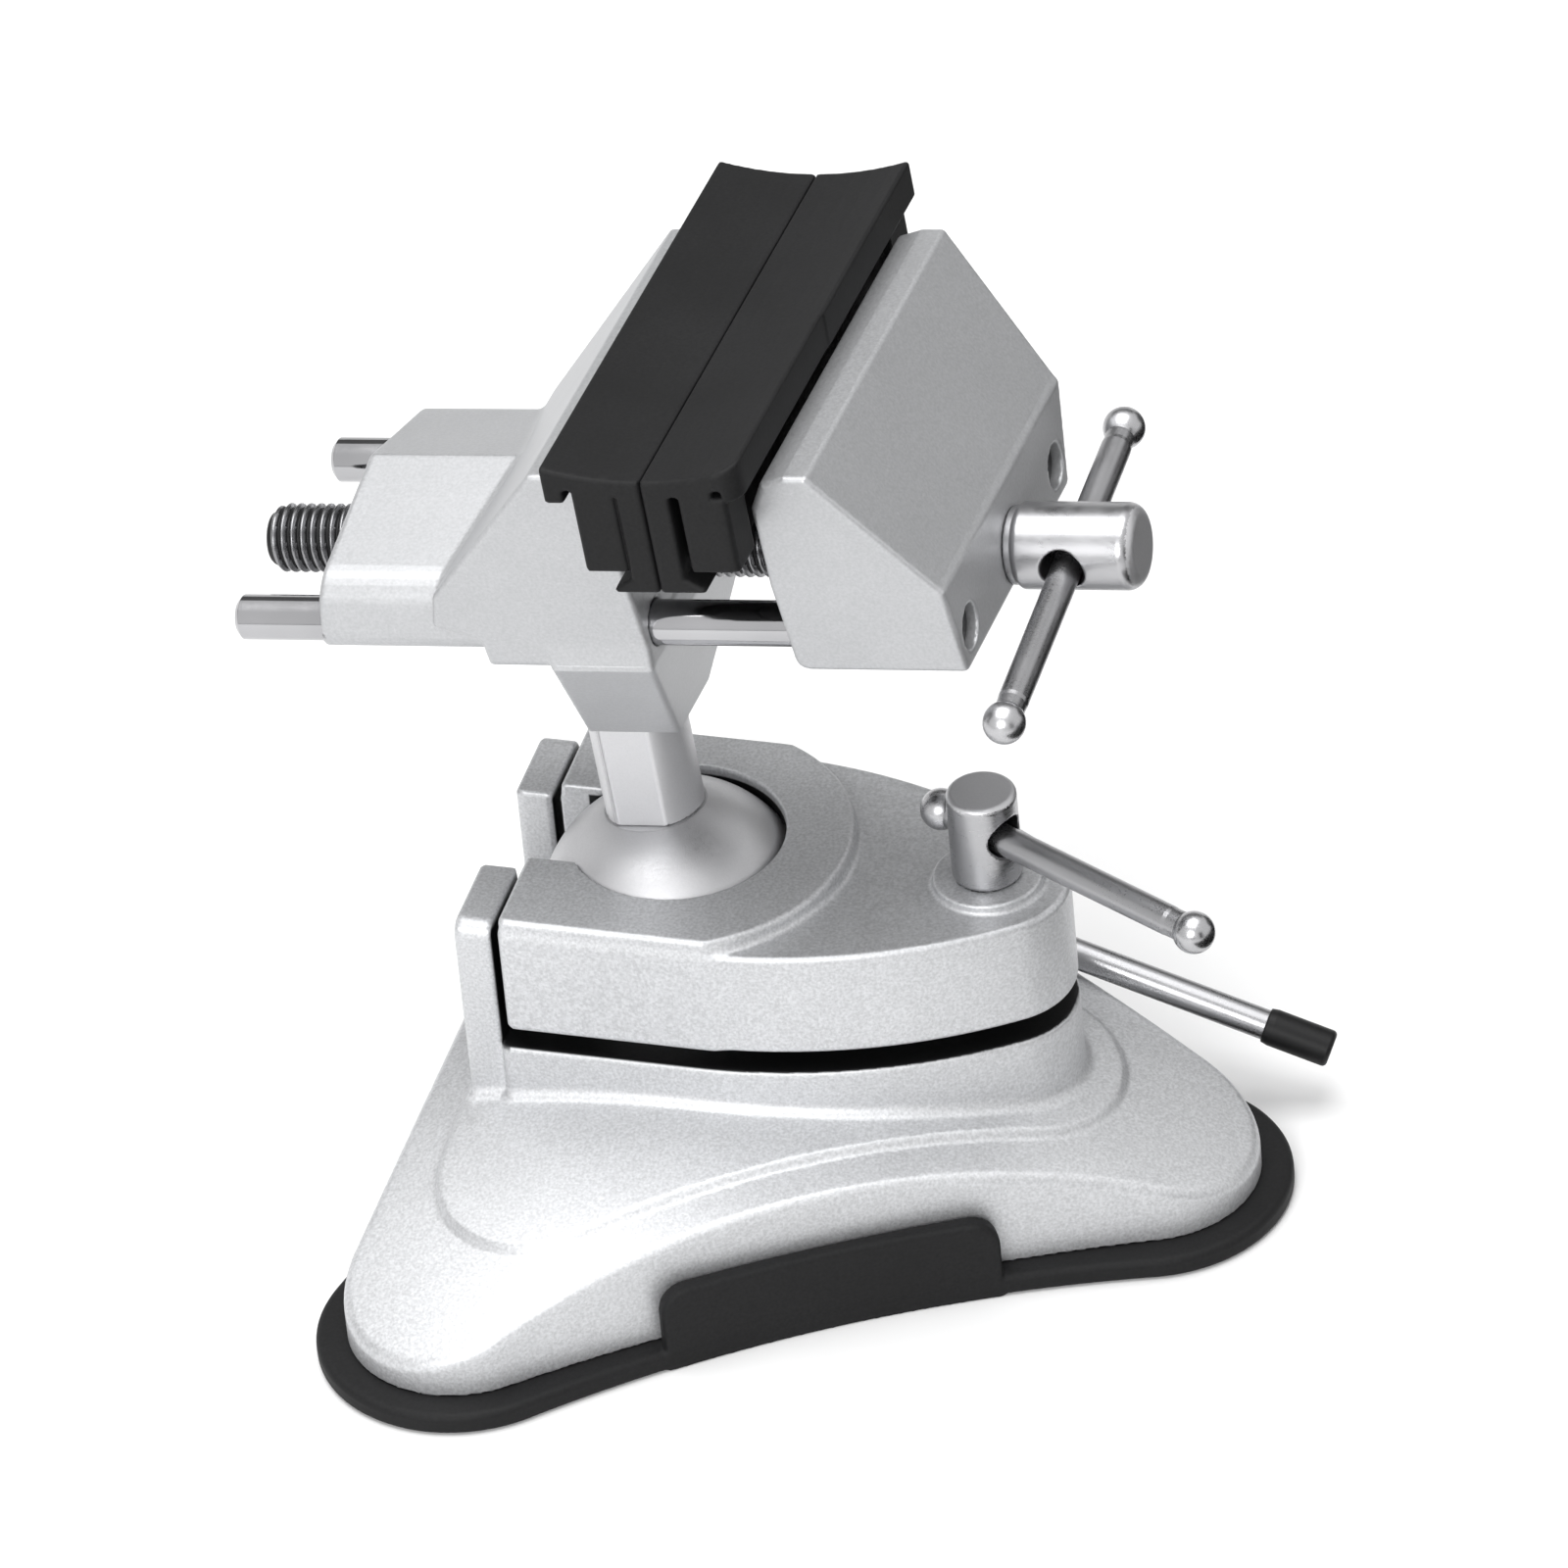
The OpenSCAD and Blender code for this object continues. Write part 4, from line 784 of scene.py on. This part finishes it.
grip_corners = [
    (0, LEVER_END + 0.1), (STUB_R + FIT, LEVER_END + 0.1), (STUB_R + FIT, GRIP_FROM),
    (GRIP_R - 0.2, GRIP_FROM), (GRIP_R, GRIP_FROM + 1.1), (GRIP_R, GRIP_END), (0, GRIP_END),
]
grip = turned(*eased(grip_corners, [0, 0.05, 0.1, 0.25, 0.6, 0.7, 0]), lever_place)
grip_rubber = moulded_rubber("dipped_black_vinyl", "#0c0c0d", "#161617", 0.48)
finish_piece(solid("lever_rubber_grip", *grip), "suction_lever", "black_rubber", grip_rubber, "lever_grip")


def cam_shaft_field(x, y, z):
    """Plain shaft with a crank pin in its middle and a round head, drilled for the lever."""
    right, up = x - CAM_AT[0], z - CAM_AT[1]
    around = np.hypot(right, up)
    ends = np.minimum(slab(y, SHAFT_END, -CRANK_HALF), slab(y, CRANK_HALF, SHAFT_HEAD_Y - 2.5))
    shaft = meet(around - SHAFT_R, ends, 0.3)
    pin = np.maximum(np.hypot(x - PIN_AT[0], z - PIN_AT[1]) - PIN_R, np.abs(y) - CRANK_HALF - 0.5)
    head = meet(around - SHAFT_HEAD_R, np.abs(y - SHAFT_HEAD_Y) - SHAFT_HEAD_HALF, 0.5)
    body = np.minimum(np.minimum(shaft, pin), head)
    groove = np.maximum(slab(y, *CLIP_GROOVE), GROOVE_R - around)
    down = right * math.sin(LEVER_SLOPE) + up * math.cos(LEVER_SLOPE)
    out = right * math.cos(LEVER_SLOPE) - up * math.sin(LEVER_SLOPE)
    hole = np.maximum(np.hypot(down, y - SHAFT_HEAD_Y) - STUB_R - FIT, -1.2 - out)
    return np.maximum(body, -np.minimum(groove, hole))


cam = solid("cam_shaft_turned", *netted(cam_shaft_field, (21, -14, 22), (31, 29, 32.6), (0.3, 0.3, 0.3)))
finish_piece(cam, "suction_lever", "bright_steel", turned_nickel, "cam_shaft")

# Ball: turned steel, polished and slightly satin, pressed and screwed on the neck's spigot. It is the origin
# of the head's own frame, which is tipped a little: u across the jaws, v along them and w up the neck.
ROLL, PITCH, YAW = np.radians([-3.71, -6.84, -0.90])
NECK_R = 7.2
NECK_FLAT_R = NECK_R + 0.3
BORE_R, BORE_LOW, BORE_DEEP = 4.55, -13.3, 25.0
neck_foot = math.sqrt(BALL_R ** 2 - NECK_R ** 2)


def tilt(angle, first, second):
    """A turn in the plane of two axes: the first goes to first cos a + second sin a."""
    m = np.eye(3)
    m[first, first] = m[second, second] = math.cos(angle)
    m[second, first], m[first, second] = math.sin(angle), -math.sin(angle)
    return m


HEAD = np.eye(4)
HEAD[:3, :3] = tilt(YAW, 0, 1) @ tilt(PITCH, 2, 0) @ tilt(ROLL, 1, 2)
HEAD[:3, 3] = BALL_AT


def in_head(points, faces, normals):
    """The same shell, tipped from the head's own frame to where the head stands."""
    return points @ HEAD[:3, :3].T + HEAD[:3, 3], faces, normals @ HEAD[:3, :3].T


def satin_steel():
    """Bare steel rubbed to a satin gloss: an even grey and a 0.3 mm grain that scatters the highlight."""
    material, tree, output = empty_material("satin_rubbed_steel")
    place = add(tree, "ShaderNodeTexCoord").outputs["Object"]
    grain = add(tree, "ShaderNodeTexNoise", {
        "Vector": place, "Scale": pattern_scale(0.303), "Detail": 2.0, "Roughness": 0.7,
    })
    gloss = add(tree, "ShaderNodeMapRange", {
        "Value": grain.outputs["Fac"], 1: 0.35, 2: 0.65, 3: 0.36, 4: 0.54,
    })
    bump = add(tree, "ShaderNodeBump", {
        "Height": grain.outputs["Fac"], "Strength": 0.3, "Distance": 0.04 * MM,
    })
    shader = add(tree, "ShaderNodeBsdfPrincipled", {
        "Base Color": colour("#c6c6c8"), "Metallic": 0.85, "Roughness": gloss.outputs[0],
        "Normal": bump.outputs[0],
    })
    tree.links.new(shader.outputs[0], output.inputs[0])
    return material


arc = np.linspace(math.asin(BORE_R / BALL_R), np.pi - math.asin(NECK_FLAT_R / BALL_R), 90)
arc_normals = np.stack([np.sin(arc), -np.cos(arc)], 1)
arc_points = BALL_R * arc_normals
deep = neck_foot - BORE_DEEP
ball_points = np.concatenate([
    [(0, BORE_LOW), (BORE_R, BORE_LOW), (BORE_R, arc_points[0, 1])], arc_points,
    [(NECK_FLAT_R, neck_foot), (BORE_R, neck_foot), (BORE_R, deep), (0, deep)],
])
ball_normals = np.concatenate([
    [(0, -1), (-1, 0), (-1, 0)], arc_normals, [(0, 1), (0, 1), (-1, 0), (0, 1)],
])
satin_ball = satin_steel()
ball = solid("ball_turned", *turned(ball_points, ball_normals, HEAD, sides=128))
finish_piece(ball, "ball_body", "satin_ball", satin_ball, "ball")

# Fixed jaw: one casting of neck, wedge, jaw and guide block, painted like the base. The guide block behind
# the jaw carries the two rods and the lead screw's nut thread.
FIXED_FACE, SEAM, MOVING_FACE, OUTER_FACE = 15.4, 26.0, 36.6, 61.9
JAW_TOP, JAW_FLOOR, JAW_HALF, JAW_EDGE = 94.4, 57.6, 34.0, 0.9
DRAFT = 0.24
RAIL, ROD_V = 62.9, 21.2
ROD_BORE_R, SCREW_BORE_R, BORE_EDGE = 3.3, 5.0, 0.3
GUIDE_HALF, GUIDE_LOW, GUIDE_SHOULDER = 25.05, 59.05, 70.5
GUIDE_BOSS_R = 6.65
GUIDE_END, GUIDE_END_WAY = (-34.9, 56.25), (0.992, 0.124)
WEDGE_LOW, WEDGE_HALF, WEDGE_EDGE = 35.0, 26.0, 0.8
NECK_FLAT, NECK_TOP = 6.2, 53.0
BALL_SCREW_R, BALL_SCREW_TOP = 2.55, 8.0


def polygon_gap(a, b, corners):
    """Signed distance in a plane to a polygon: to the nearest side, and negative inside the polygon."""
    corners = np.array(corners, float)
    nearest = np.full(np.broadcast(a, b).shape, np.inf)
    odd = np.zeros(nearest.shape, bool)
    for (ax, ay), (bx, by) in zip(corners, np.roll(corners, -1, axis=0)):
        ex, ey, px, py = bx - ax, by - ay, a - ax, b - ay
        share = np.clip((px * ex + py * ey) / (ex * ex + ey * ey), 0, 1)
        nearest = np.minimum(nearest, (px - share * ex) ** 2 + (py - share * ey) ** 2)
        odd ^= ((ay > b) != (by > b)) & (a < ex * (b - ay) / (ey if ey else 1e-9) + ax)
    return np.where(odd, -1, 1) * np.sqrt(nearest)


def softened(corners, radii, steps=4):
    """A closed outline with each corner rounded, all alike or each with its own radius."""
    closed = [corners[-1]] + list(corners) + [corners[0]]
    return eased(closed, [0, *np.broadcast_to(radii, len(corners)), 0], steps)[0][1:-1]


def jaw_ends(v, w):
    """Distance to the two sloping ends of a jaw, which draw in by DRAFT for each unit down."""
    return (np.abs(v) - JAW_HALF + DRAFT * (JAW_TOP - w)) / math.hypot(1, DRAFT)


fixed_outline = softened([
    (FIXED_FACE, JAW_FLOOR), (FIXED_FACE, JAW_TOP), (6.0, JAW_TOP), (-14.5, 70.9), (-16.1, 65.1),
    (-9.5, 62.4), (-9.5, JAW_FLOOR),
], 0.8)
guide_outline = softened([
    (-GUIDE_HALF, GUIDE_LOW), (GUIDE_HALF, GUIDE_LOW), (GUIDE_HALF, GUIDE_SHOULDER), (0.0, 77.0),
    (-GUIDE_HALF, GUIDE_SHOULDER),
], [3.84, 3.84, 5.5, 1.2, 5.5], 8)
wedge_side = [
    (-5.0, WEDGE_LOW), (9.0, WEDGE_LOW), (FIXED_FACE, JAW_FLOOR), (FIXED_FACE, RAIL), (0.0, RAIL),
    (0.0, JAW_FLOOR),
]
wedge_front = [
    (-7.0, WEDGE_LOW), (7.0, WEDGE_LOW), (WEDGE_HALF, JAW_FLOOR), (WEDGE_HALF, RAIL), (-WEDGE_HALF, RAIL),
    (-WEDGE_HALF, JAW_FLOOR),
]


def jaw_bores(v, w):
    """Distance to the bores of the two rods and of the lead screw."""
    rods = np.hypot(np.abs(v) - ROD_V, w - RAIL) - ROD_BORE_R
    return np.minimum(rods, np.hypot(v, w - RAIL) - SCREW_BORE_R)


def fixed_jaw_field(u, v, w):
    """Jaw, guide block, wedge and neck joined with small fillets, less the bores."""
    jaw = meet(polygon_gap(u, w, fixed_outline), jaw_ends(v, w), JAW_EDGE)
    end_plane = (GUIDE_END[0] - u) * GUIDE_END_WAY[0] + (w - GUIDE_END[1]) * GUIDE_END_WAY[1]
    boss = np.hypot(v, w - RAIL) - GUIDE_BOSS_R
    block = join(polygon_gap(v, w, guide_outline), boss, 0.5)
    block = meet(block, np.maximum(end_plane, u - FIXED_FACE + 0.4), WEDGE_EDGE)
    wedge = meet(polygon_gap(u, w, wedge_side), polygon_gap(v, w, wedge_front), WEDGE_EDGE)
    neck = meet(np.hypot(u, v) - NECK_R, -NECK_FLAT - v, 0.15)
    neck = np.maximum(neck, slab(w, neck_foot + FIT, NECK_TOP))
    seam_line = np.maximum(np.hypot(u + 3.9, v + 6.1) - 0.22, slab(w, neck_foot + 0.3, WEDGE_LOW + 1.0))
    spigot = np.maximum(np.hypot(u, v) - BORE_R + FIT, slab(w, neck_foot - BORE_DEEP + 0.1, 30.0))
    body = join(join(jaw, block, 0.7), join(wedge, join(neck, seam_line, 0.15), 0.25), 0.4)
    body = meet(np.minimum(body, spigot), -jaw_bores(v, w), BORE_EDGE)
    return np.maximum(body, -np.maximum(np.hypot(u, v) - BALL_SCREW_R, w - BALL_SCREW_TOP))


def second_finish(obj, material, chosen):
    """Gives the chosen faces of a piece a second material."""
    obj.data.materials.append(material)
    obj.data.polygons.foreach_set("material_index", chosen.astype(np.int32))


fixed_shell = in_head(*netted(fixed_jaw_field, (-36.5, -35, -7), (17, 35, 96), (0.5, 0.5, 0.5)))
fixed = solid("fixed_jaw_casting", *fixed_shell)
# The jaws take a copy of the base's paint with a finer grain, set darker at level 0.8: painted shade.
jaw_paint_shaded = sand_paint("fine_silver_paint_shaded", 0.75, 0.2, 0.8)
finish_piece(fixed, "head", "cast_silver", jaw_paint_shaded, "fixed_jaw")
# The neck, below the wedge, is bare metal.
height = ((fixed_shell[0] - BALL_AT) @ HEAD[:3, 2])[fixed_shell[1]].mean(1)
second_finish(fixed, satin_ball, height < WEDGE_LOW - 0.1)

# Moving jaw: a plain casting on the ends of the guide rods, with drawn-in ends and a long slope on its outer
# side. The lead screw turns in it, held by a clip in a pocket at its inner face.
moving_outline = softened([
    (OUTER_FACE, JAW_FLOOR), (OUTER_FACE, 72.7), (61.1, 73.7), (47.0, JAW_TOP), (43.7, JAW_TOP),
    (40.1, 93.4), (37.6, 88.6), (MOVING_FACE, 73.7), (MOVING_FACE, JAW_FLOOR),
], [0.8, 0.8, 0.8, 0.8, 0.8, 0.8, 0.8, 0.8, 1.9])
CLIP_ROOM_R, CLIP_ROOM_DEPTH = 8.3, 1.1


def moving_jaw_field(u, v, w):
    """A block with drawn-in ends, less the bores and the pocket of the screw's clip."""
    body = meet(polygon_gap(u, w, moving_outline), jaw_ends(v, w), JAW_EDGE)
    pocket = np.maximum(np.hypot(v, w - RAIL) - CLIP_ROOM_R, u - MOVING_FACE - CLIP_ROOM_DEPTH)
    return meet(body, -np.minimum(jaw_bores(v, w), pocket), BORE_EDGE)


moving_shell = in_head(*netted(moving_jaw_field, (35, -35, 56), (63, 35, 96), (0.45, 0.5, 0.45)))
moving = solid("moving_jaw_casting", *moving_shell)
finish_piece(moving, "carriage", "cast_silver", jaw_paint_shaded, "moving_jaw")

# Jaw pads: two alike mouldings of black rubber, pressed on the jaws. Each has a dished top that laps the jaw,
# a facing at the seam, a narrow groove behind the facing and a thick end block.
PAD_HALF, PAD_ENDS_R = 42.0, 0.7
DISH_LOW, DISH_RISE, PAD_OUT = 98.6, 2.2, 14.4
EAR_FROM, EAR_TO, EAR_LOW, EAR_HIGH, EAR_IN = 8.0, 12.2, 84.0, 96.0, 34.6


def jaw_pad_field(side):
    """The pad's outline in length across the seam and height, carried along the seam, with round ends. The
    dished top is a parabola, the near outer corner of the moving jaw's pad is rounded off in plan, and its
    end blocks lap the jaw's ends with an ear each."""
    dish = [(a, DISH_LOW + DISH_RISE * (a / PAD_OUT) ** 2) for a in (3.0, 6.0, 9.0, 12.0)]
    groove = 5.2 if side > 0 else 4.0
    pad_profile = [(0.05, DISH_LOW)] + dish + [
        (PAD_OUT, DISH_LOW + DISH_RISE), (PAD_OUT, 95.0), (11.5, 95.0), (11.5, 97.0), (10.3, 97.0),
        (10.3, 84.0), (groove, 84.0), (groove, 96.0), (3.9, 96.0), (3.9, 83.0), (7.8, 80.6), (0.05, 80.6),
    ]
    corners = softened([(side * a + SEAM, b) for a, b in pad_profile], 0.4, 3)

    def field(u, v, w):
        ends = np.abs(v) - PAD_HALF
        body = polygon_gap(u, w, corners)
        if side > 0:
            ends = meet(ends, np.where(v < 0, u - SEAM - PAD_OUT, -1e3), 4.0)
            ear = np.maximum(slab(w, EAR_LOW, EAR_HIGH), EAR_IN - np.abs(v))
            body = np.minimum(body, np.maximum(slab(u, SEAM + EAR_FROM, SEAM + EAR_TO), ear))
        return meet(body, ends, PAD_ENDS_R)
    return field


jaw_rubber = moulded_rubber("moulded_jaw_rubber", "#0d0d0e", "#171718", 0.6)
for side, name, body, node in (
    (-1, "fixed_jaw_rubber", "head", "fixed_jaw_pad"),
    (1, "moving_jaw_rubber", "carriage", "moving_jaw_pad"),
):
    u0, u1 = sorted((SEAM - side * 1.2, SEAM + side * 15.6))
    rubber = netted(jaw_pad_field(side), (u0, -43.5, 79.5), (u1, 43.5, 102), (0.33, 0.8, 0.33))
    finish_piece(solid(name, *in_head(*rubber)), body, "black_rubber", jaw_rubber, node)

# Guide rods: two drawn and polished steel rods, pressed into the moving jaw until their ends stand a little
# behind its outer face, and sliding in the guide block's bores. The sunk ends are dull and dark, painted
# shade.
ROD_R = 3.25
ROD_END, ROD_START = OUTER_FACE - 1.6, OUTER_FACE - 109.2


def dull_dark_steel(name, tone, rough):
    """Painted shade at a rod's sunk end or a thread's root: dark dull steel, its gloss varied by 1 mm specks.
    """
    material, tree, output = empty_material(name)
    place = add(tree, "ShaderNodeTexCoord").outputs["Object"]
    specks = add(tree, "ShaderNodeTexNoise", {"Vector": place, "Scale": pattern_scale(1.1111), "Detail": 2.0})
    gloss = add(tree, "ShaderNodeMapRange", {
        "Value": specks.outputs["Fac"], 3: rough - 0.1, 4: rough + 0.1,
    })
    shader = add(tree, "ShaderNodeBsdfPrincipled", {
        "Base Color": colour(tone), "Metallic": 0.7, "Roughness": gloss.outputs[0],
    })
    tree.links.new(shader.outputs[0], output.inputs[0])
    return material


rod_steel = bright_steel("polished_guide_rod", ("#a0a0a2", "#b6b6b8"), 0.1, 1.1111)
# The rods' sunk ends are painted shade: a dark dull steel where the bore shades them.
sunk_end_shade = dull_dark_steel("sunk_rod_end_shade", "#2c2c2d", 0.45)
rod_corners = [
    (0, ROD_START), (2.6, ROD_START), (ROD_R, ROD_START + 0.65), (ROD_R, ROD_END - 0.4), (2.85, ROD_END),
    (0, ROD_END),
]
for side, name, node in (
    (-1, "guide_rod_front_steel", "guide_rod_front"),
    (1, "guide_rod_back_steel", "guide_rod_back"),
):
    place = HEAD @ along((0.0, side * ROD_V, RAIL), (1.0, 0.0, 0.0))
    shell = turned(*eased(rod_corners, [0, 0.15, 0.2, 0.15, 0.1, 0]), place, sides=64)
    rod = solid(name, *shell)
    finish_piece(rod, "carriage", "bright_steel", rod_steel, node)
    out = ((shell[0] - BALL_AT) @ HEAD[:3, 0])[shell[1]].mean(1)
    second_finish(rod, sunk_end_shade, out > ROD_END - 0.35)

# Lead screw: rolled steel rod with an M10 thread of 1.5 mm pitch, a plain journal in the moving jaw, and a
# turned head outside it, cross-drilled for the tommy bar.
PITCH_MM = 1.5
CREST, DEPTH = 4.95, 0.87
THREAD_FROM, THREAD_TO = OUTER_FACE - 111.4, 33.6
FLANK, ROOT_FLAT = 2.7, 0.15
CLIP_SEAT_R, CLIP_SEAT = 3.8, 1.05
SCREW_HEAD_R, SCREW_HEAD_END, SCREW_HEAD_ROUND = 6.2, 80.95, 2.1
COLLAR_R, COLLAR_L = 5.6, 3.0
HOLE_U = OUTER_FACE + 8.7
BAR_SLOPE = math.radians(7.0)


def thread_shell():
    """A ridge that winds round the axis: radius = core + depth * tooth(u / pitch - t / 2 pi), where tooth is
    a triangle wave with flat crests and roots. It fades to the core at the free end and to the plain journal,
    with the seat of the clip in it, at the other."""
    sides = 48
    t = np.linspace(0, 2 * np.pi, sides, endpoint=False)[:, None]
    u = np.arange(THREAD_FROM, THREAD_TO, PITCH_MM / 10)
    phase = (u / PITCH_MM - t / (2 * np.pi)) % 1.0
    tooth = np.clip((0.5 - np.abs(phase - 0.5)) * FLANK - ROOT_FLAT, 0, 1)
    fade = np.clip((u - THREAD_FROM) / (1.6 * PITCH_MM), 0, 1)
    radius = CREST - DEPTH + DEPTH * tooth * np.minimum(fade * 1.3, 1.0)
    radius = radius - 0.5 * np.clip(1 - fade * 2.4, 0, 1)
    plain = np.array([
        (THREAD_TO + 0.2, CREST - DEPTH), (THREAD_TO + 1.0, CREST), (MOVING_FACE, CREST),
        (MOVING_FACE + 0.02, CLIP_SEAT_R), (MOVING_FACE + CLIP_SEAT, CLIP_SEAT_R),
        (MOVING_FACE + CLIP_SEAT + 0.02, CREST), (OUTER_FACE + 0.2, CREST),
    ])
    u_all = np.concatenate([[u[0]], u, plain[:, 0], [plain[-1, 0]]])
    on_axis = np.full((sides, 1), AXIS_R)
    r_all = np.concatenate([on_axis, radius, np.tile(plain[:, 1], (sides, 1)), on_axis], 1)
    grid = np.stack([u_all + 0 * t, r_all * np.cos(t), RAIL + r_all * np.sin(t)], -1)
    return grid.reshape(-1, 3), ring_faces(sides, len(u_all))


def screw_head_field(u, v, w):
    """Head with a small collar at the jaw and a round end, less the cross hole with its countersunk edge."""
    around = np.hypot(v, w - RAIL)
    head = meet(around - SCREW_HEAD_R, u - SCREW_HEAD_END, SCREW_HEAD_ROUND)
    head = meet(head, OUTER_FACE + 1.25 - u, HEAD_EDGE)
    collar = meet(around - COLLAR_R, slab(u, OUTER_FACE + FIT, OUTER_FACE + COLLAR_L), 0.3)
    across = v * math.sin(BAR_SLOPE) - (w - RAIL) * math.cos(BAR_SLOPE)
    hole = np.hypot(u - HOLE_U, across) - CROSS_HOLE_R
    return meet(join(head, collar, 0.2), -hole, CROSS_HOLE_EDGE)


rolled_thread = bright_steel("rolled_thread_steel", ("#7c7c7e", "#98989a"), 0.26, 1.4286)
thread_points, thread_faces = thread_shell()
thread = solid("lead_screw_thread", thread_points @ HEAD[:3, :3].T + HEAD[:3, 3], thread_faces)
finish_piece(thread, "spindle", "bright_steel", rolled_thread, "lead_screw")
# The thread's roots get a dark dull steel: painted shade in the grooves.
depth = np.hypot(thread_points[:, 1], thread_points[:, 2] - RAIL)[thread_faces].mean(1)
along_screw = thread_points[:, 0][thread_faces].mean(1)
in_root = (depth < CREST - DEPTH * 0.62) & (along_screw > THREAD_FROM + 0.1) & (along_screw < THREAD_TO)
second_finish(thread, dull_dark_steel("thread_root_shade", "#262627", 0.5), in_root)
head_shell = netted(screw_head_field, (61, -7.5, 55.5), (82, 7.5, 70.5), (0.3, 0.3, 0.3))
screw_head = solid("lead_screw_head", *in_head(*head_shell))
finish_piece(screw_head, "spindle", "bright_steel", turned_nickel, "lead_screw")
# Handling has rubbed the plating of both screws' end faces to a satin gloss.
for piece, shell, axis, end in ((clamp, clamp_shell, 2, 69.0), (screw_head, head_shell, 0, 80.2)):
    second_finish(piece, satin_ball, shell[0][:, axis][shell[1]].mean(1) > end)

# Lead screw's tommy bar: like the clamp's, but longer, and slid a little to the front.
bar_way = np.array([0.0, math.cos(BAR_SLOPE), math.sin(BAR_SLOPE)])
bar_under = np.array([0.0, math.sin(BAR_SLOPE), -math.cos(BAR_SLOPE)])
bar_origin = np.array([HOLE_U, 0.0, RAIL]) + BAR_DROP * bar_under
rod, balls = tommy_bar(HEAD @ along(bar_origin, bar_way), -65.2 / 2 - 5.0, 65.2)
finish_piece(solid("screw_tommy_bar", *rod), "spindle_tommy", "bright_steel", drawn_steel, "screw_bar")
end_balls = solid("screw_bar_end_balls", *balls)
finish_piece(end_balls, "spindle_tommy", "bright_steel", polished_ball, "screw_bar_balls")

# Inner pieces: plate, stud and nut of the suction gear, the clips and the ball's screw, all plain zinc-plated
# steel, shown as they are in the frame.
zinc_steel = bright_steel("zinc_plated_steel", ("#8b8c8e", "#a4a5a7"), 0.38, 2.0)
for node in ("pressure_plate", "lift_stud", "stud_nut", "shaft_clip", "screw_clip", "ball_screw"):
    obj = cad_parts[node]
    obj.data.materials.clear()
    obj.data.materials.append(zinc_steel)
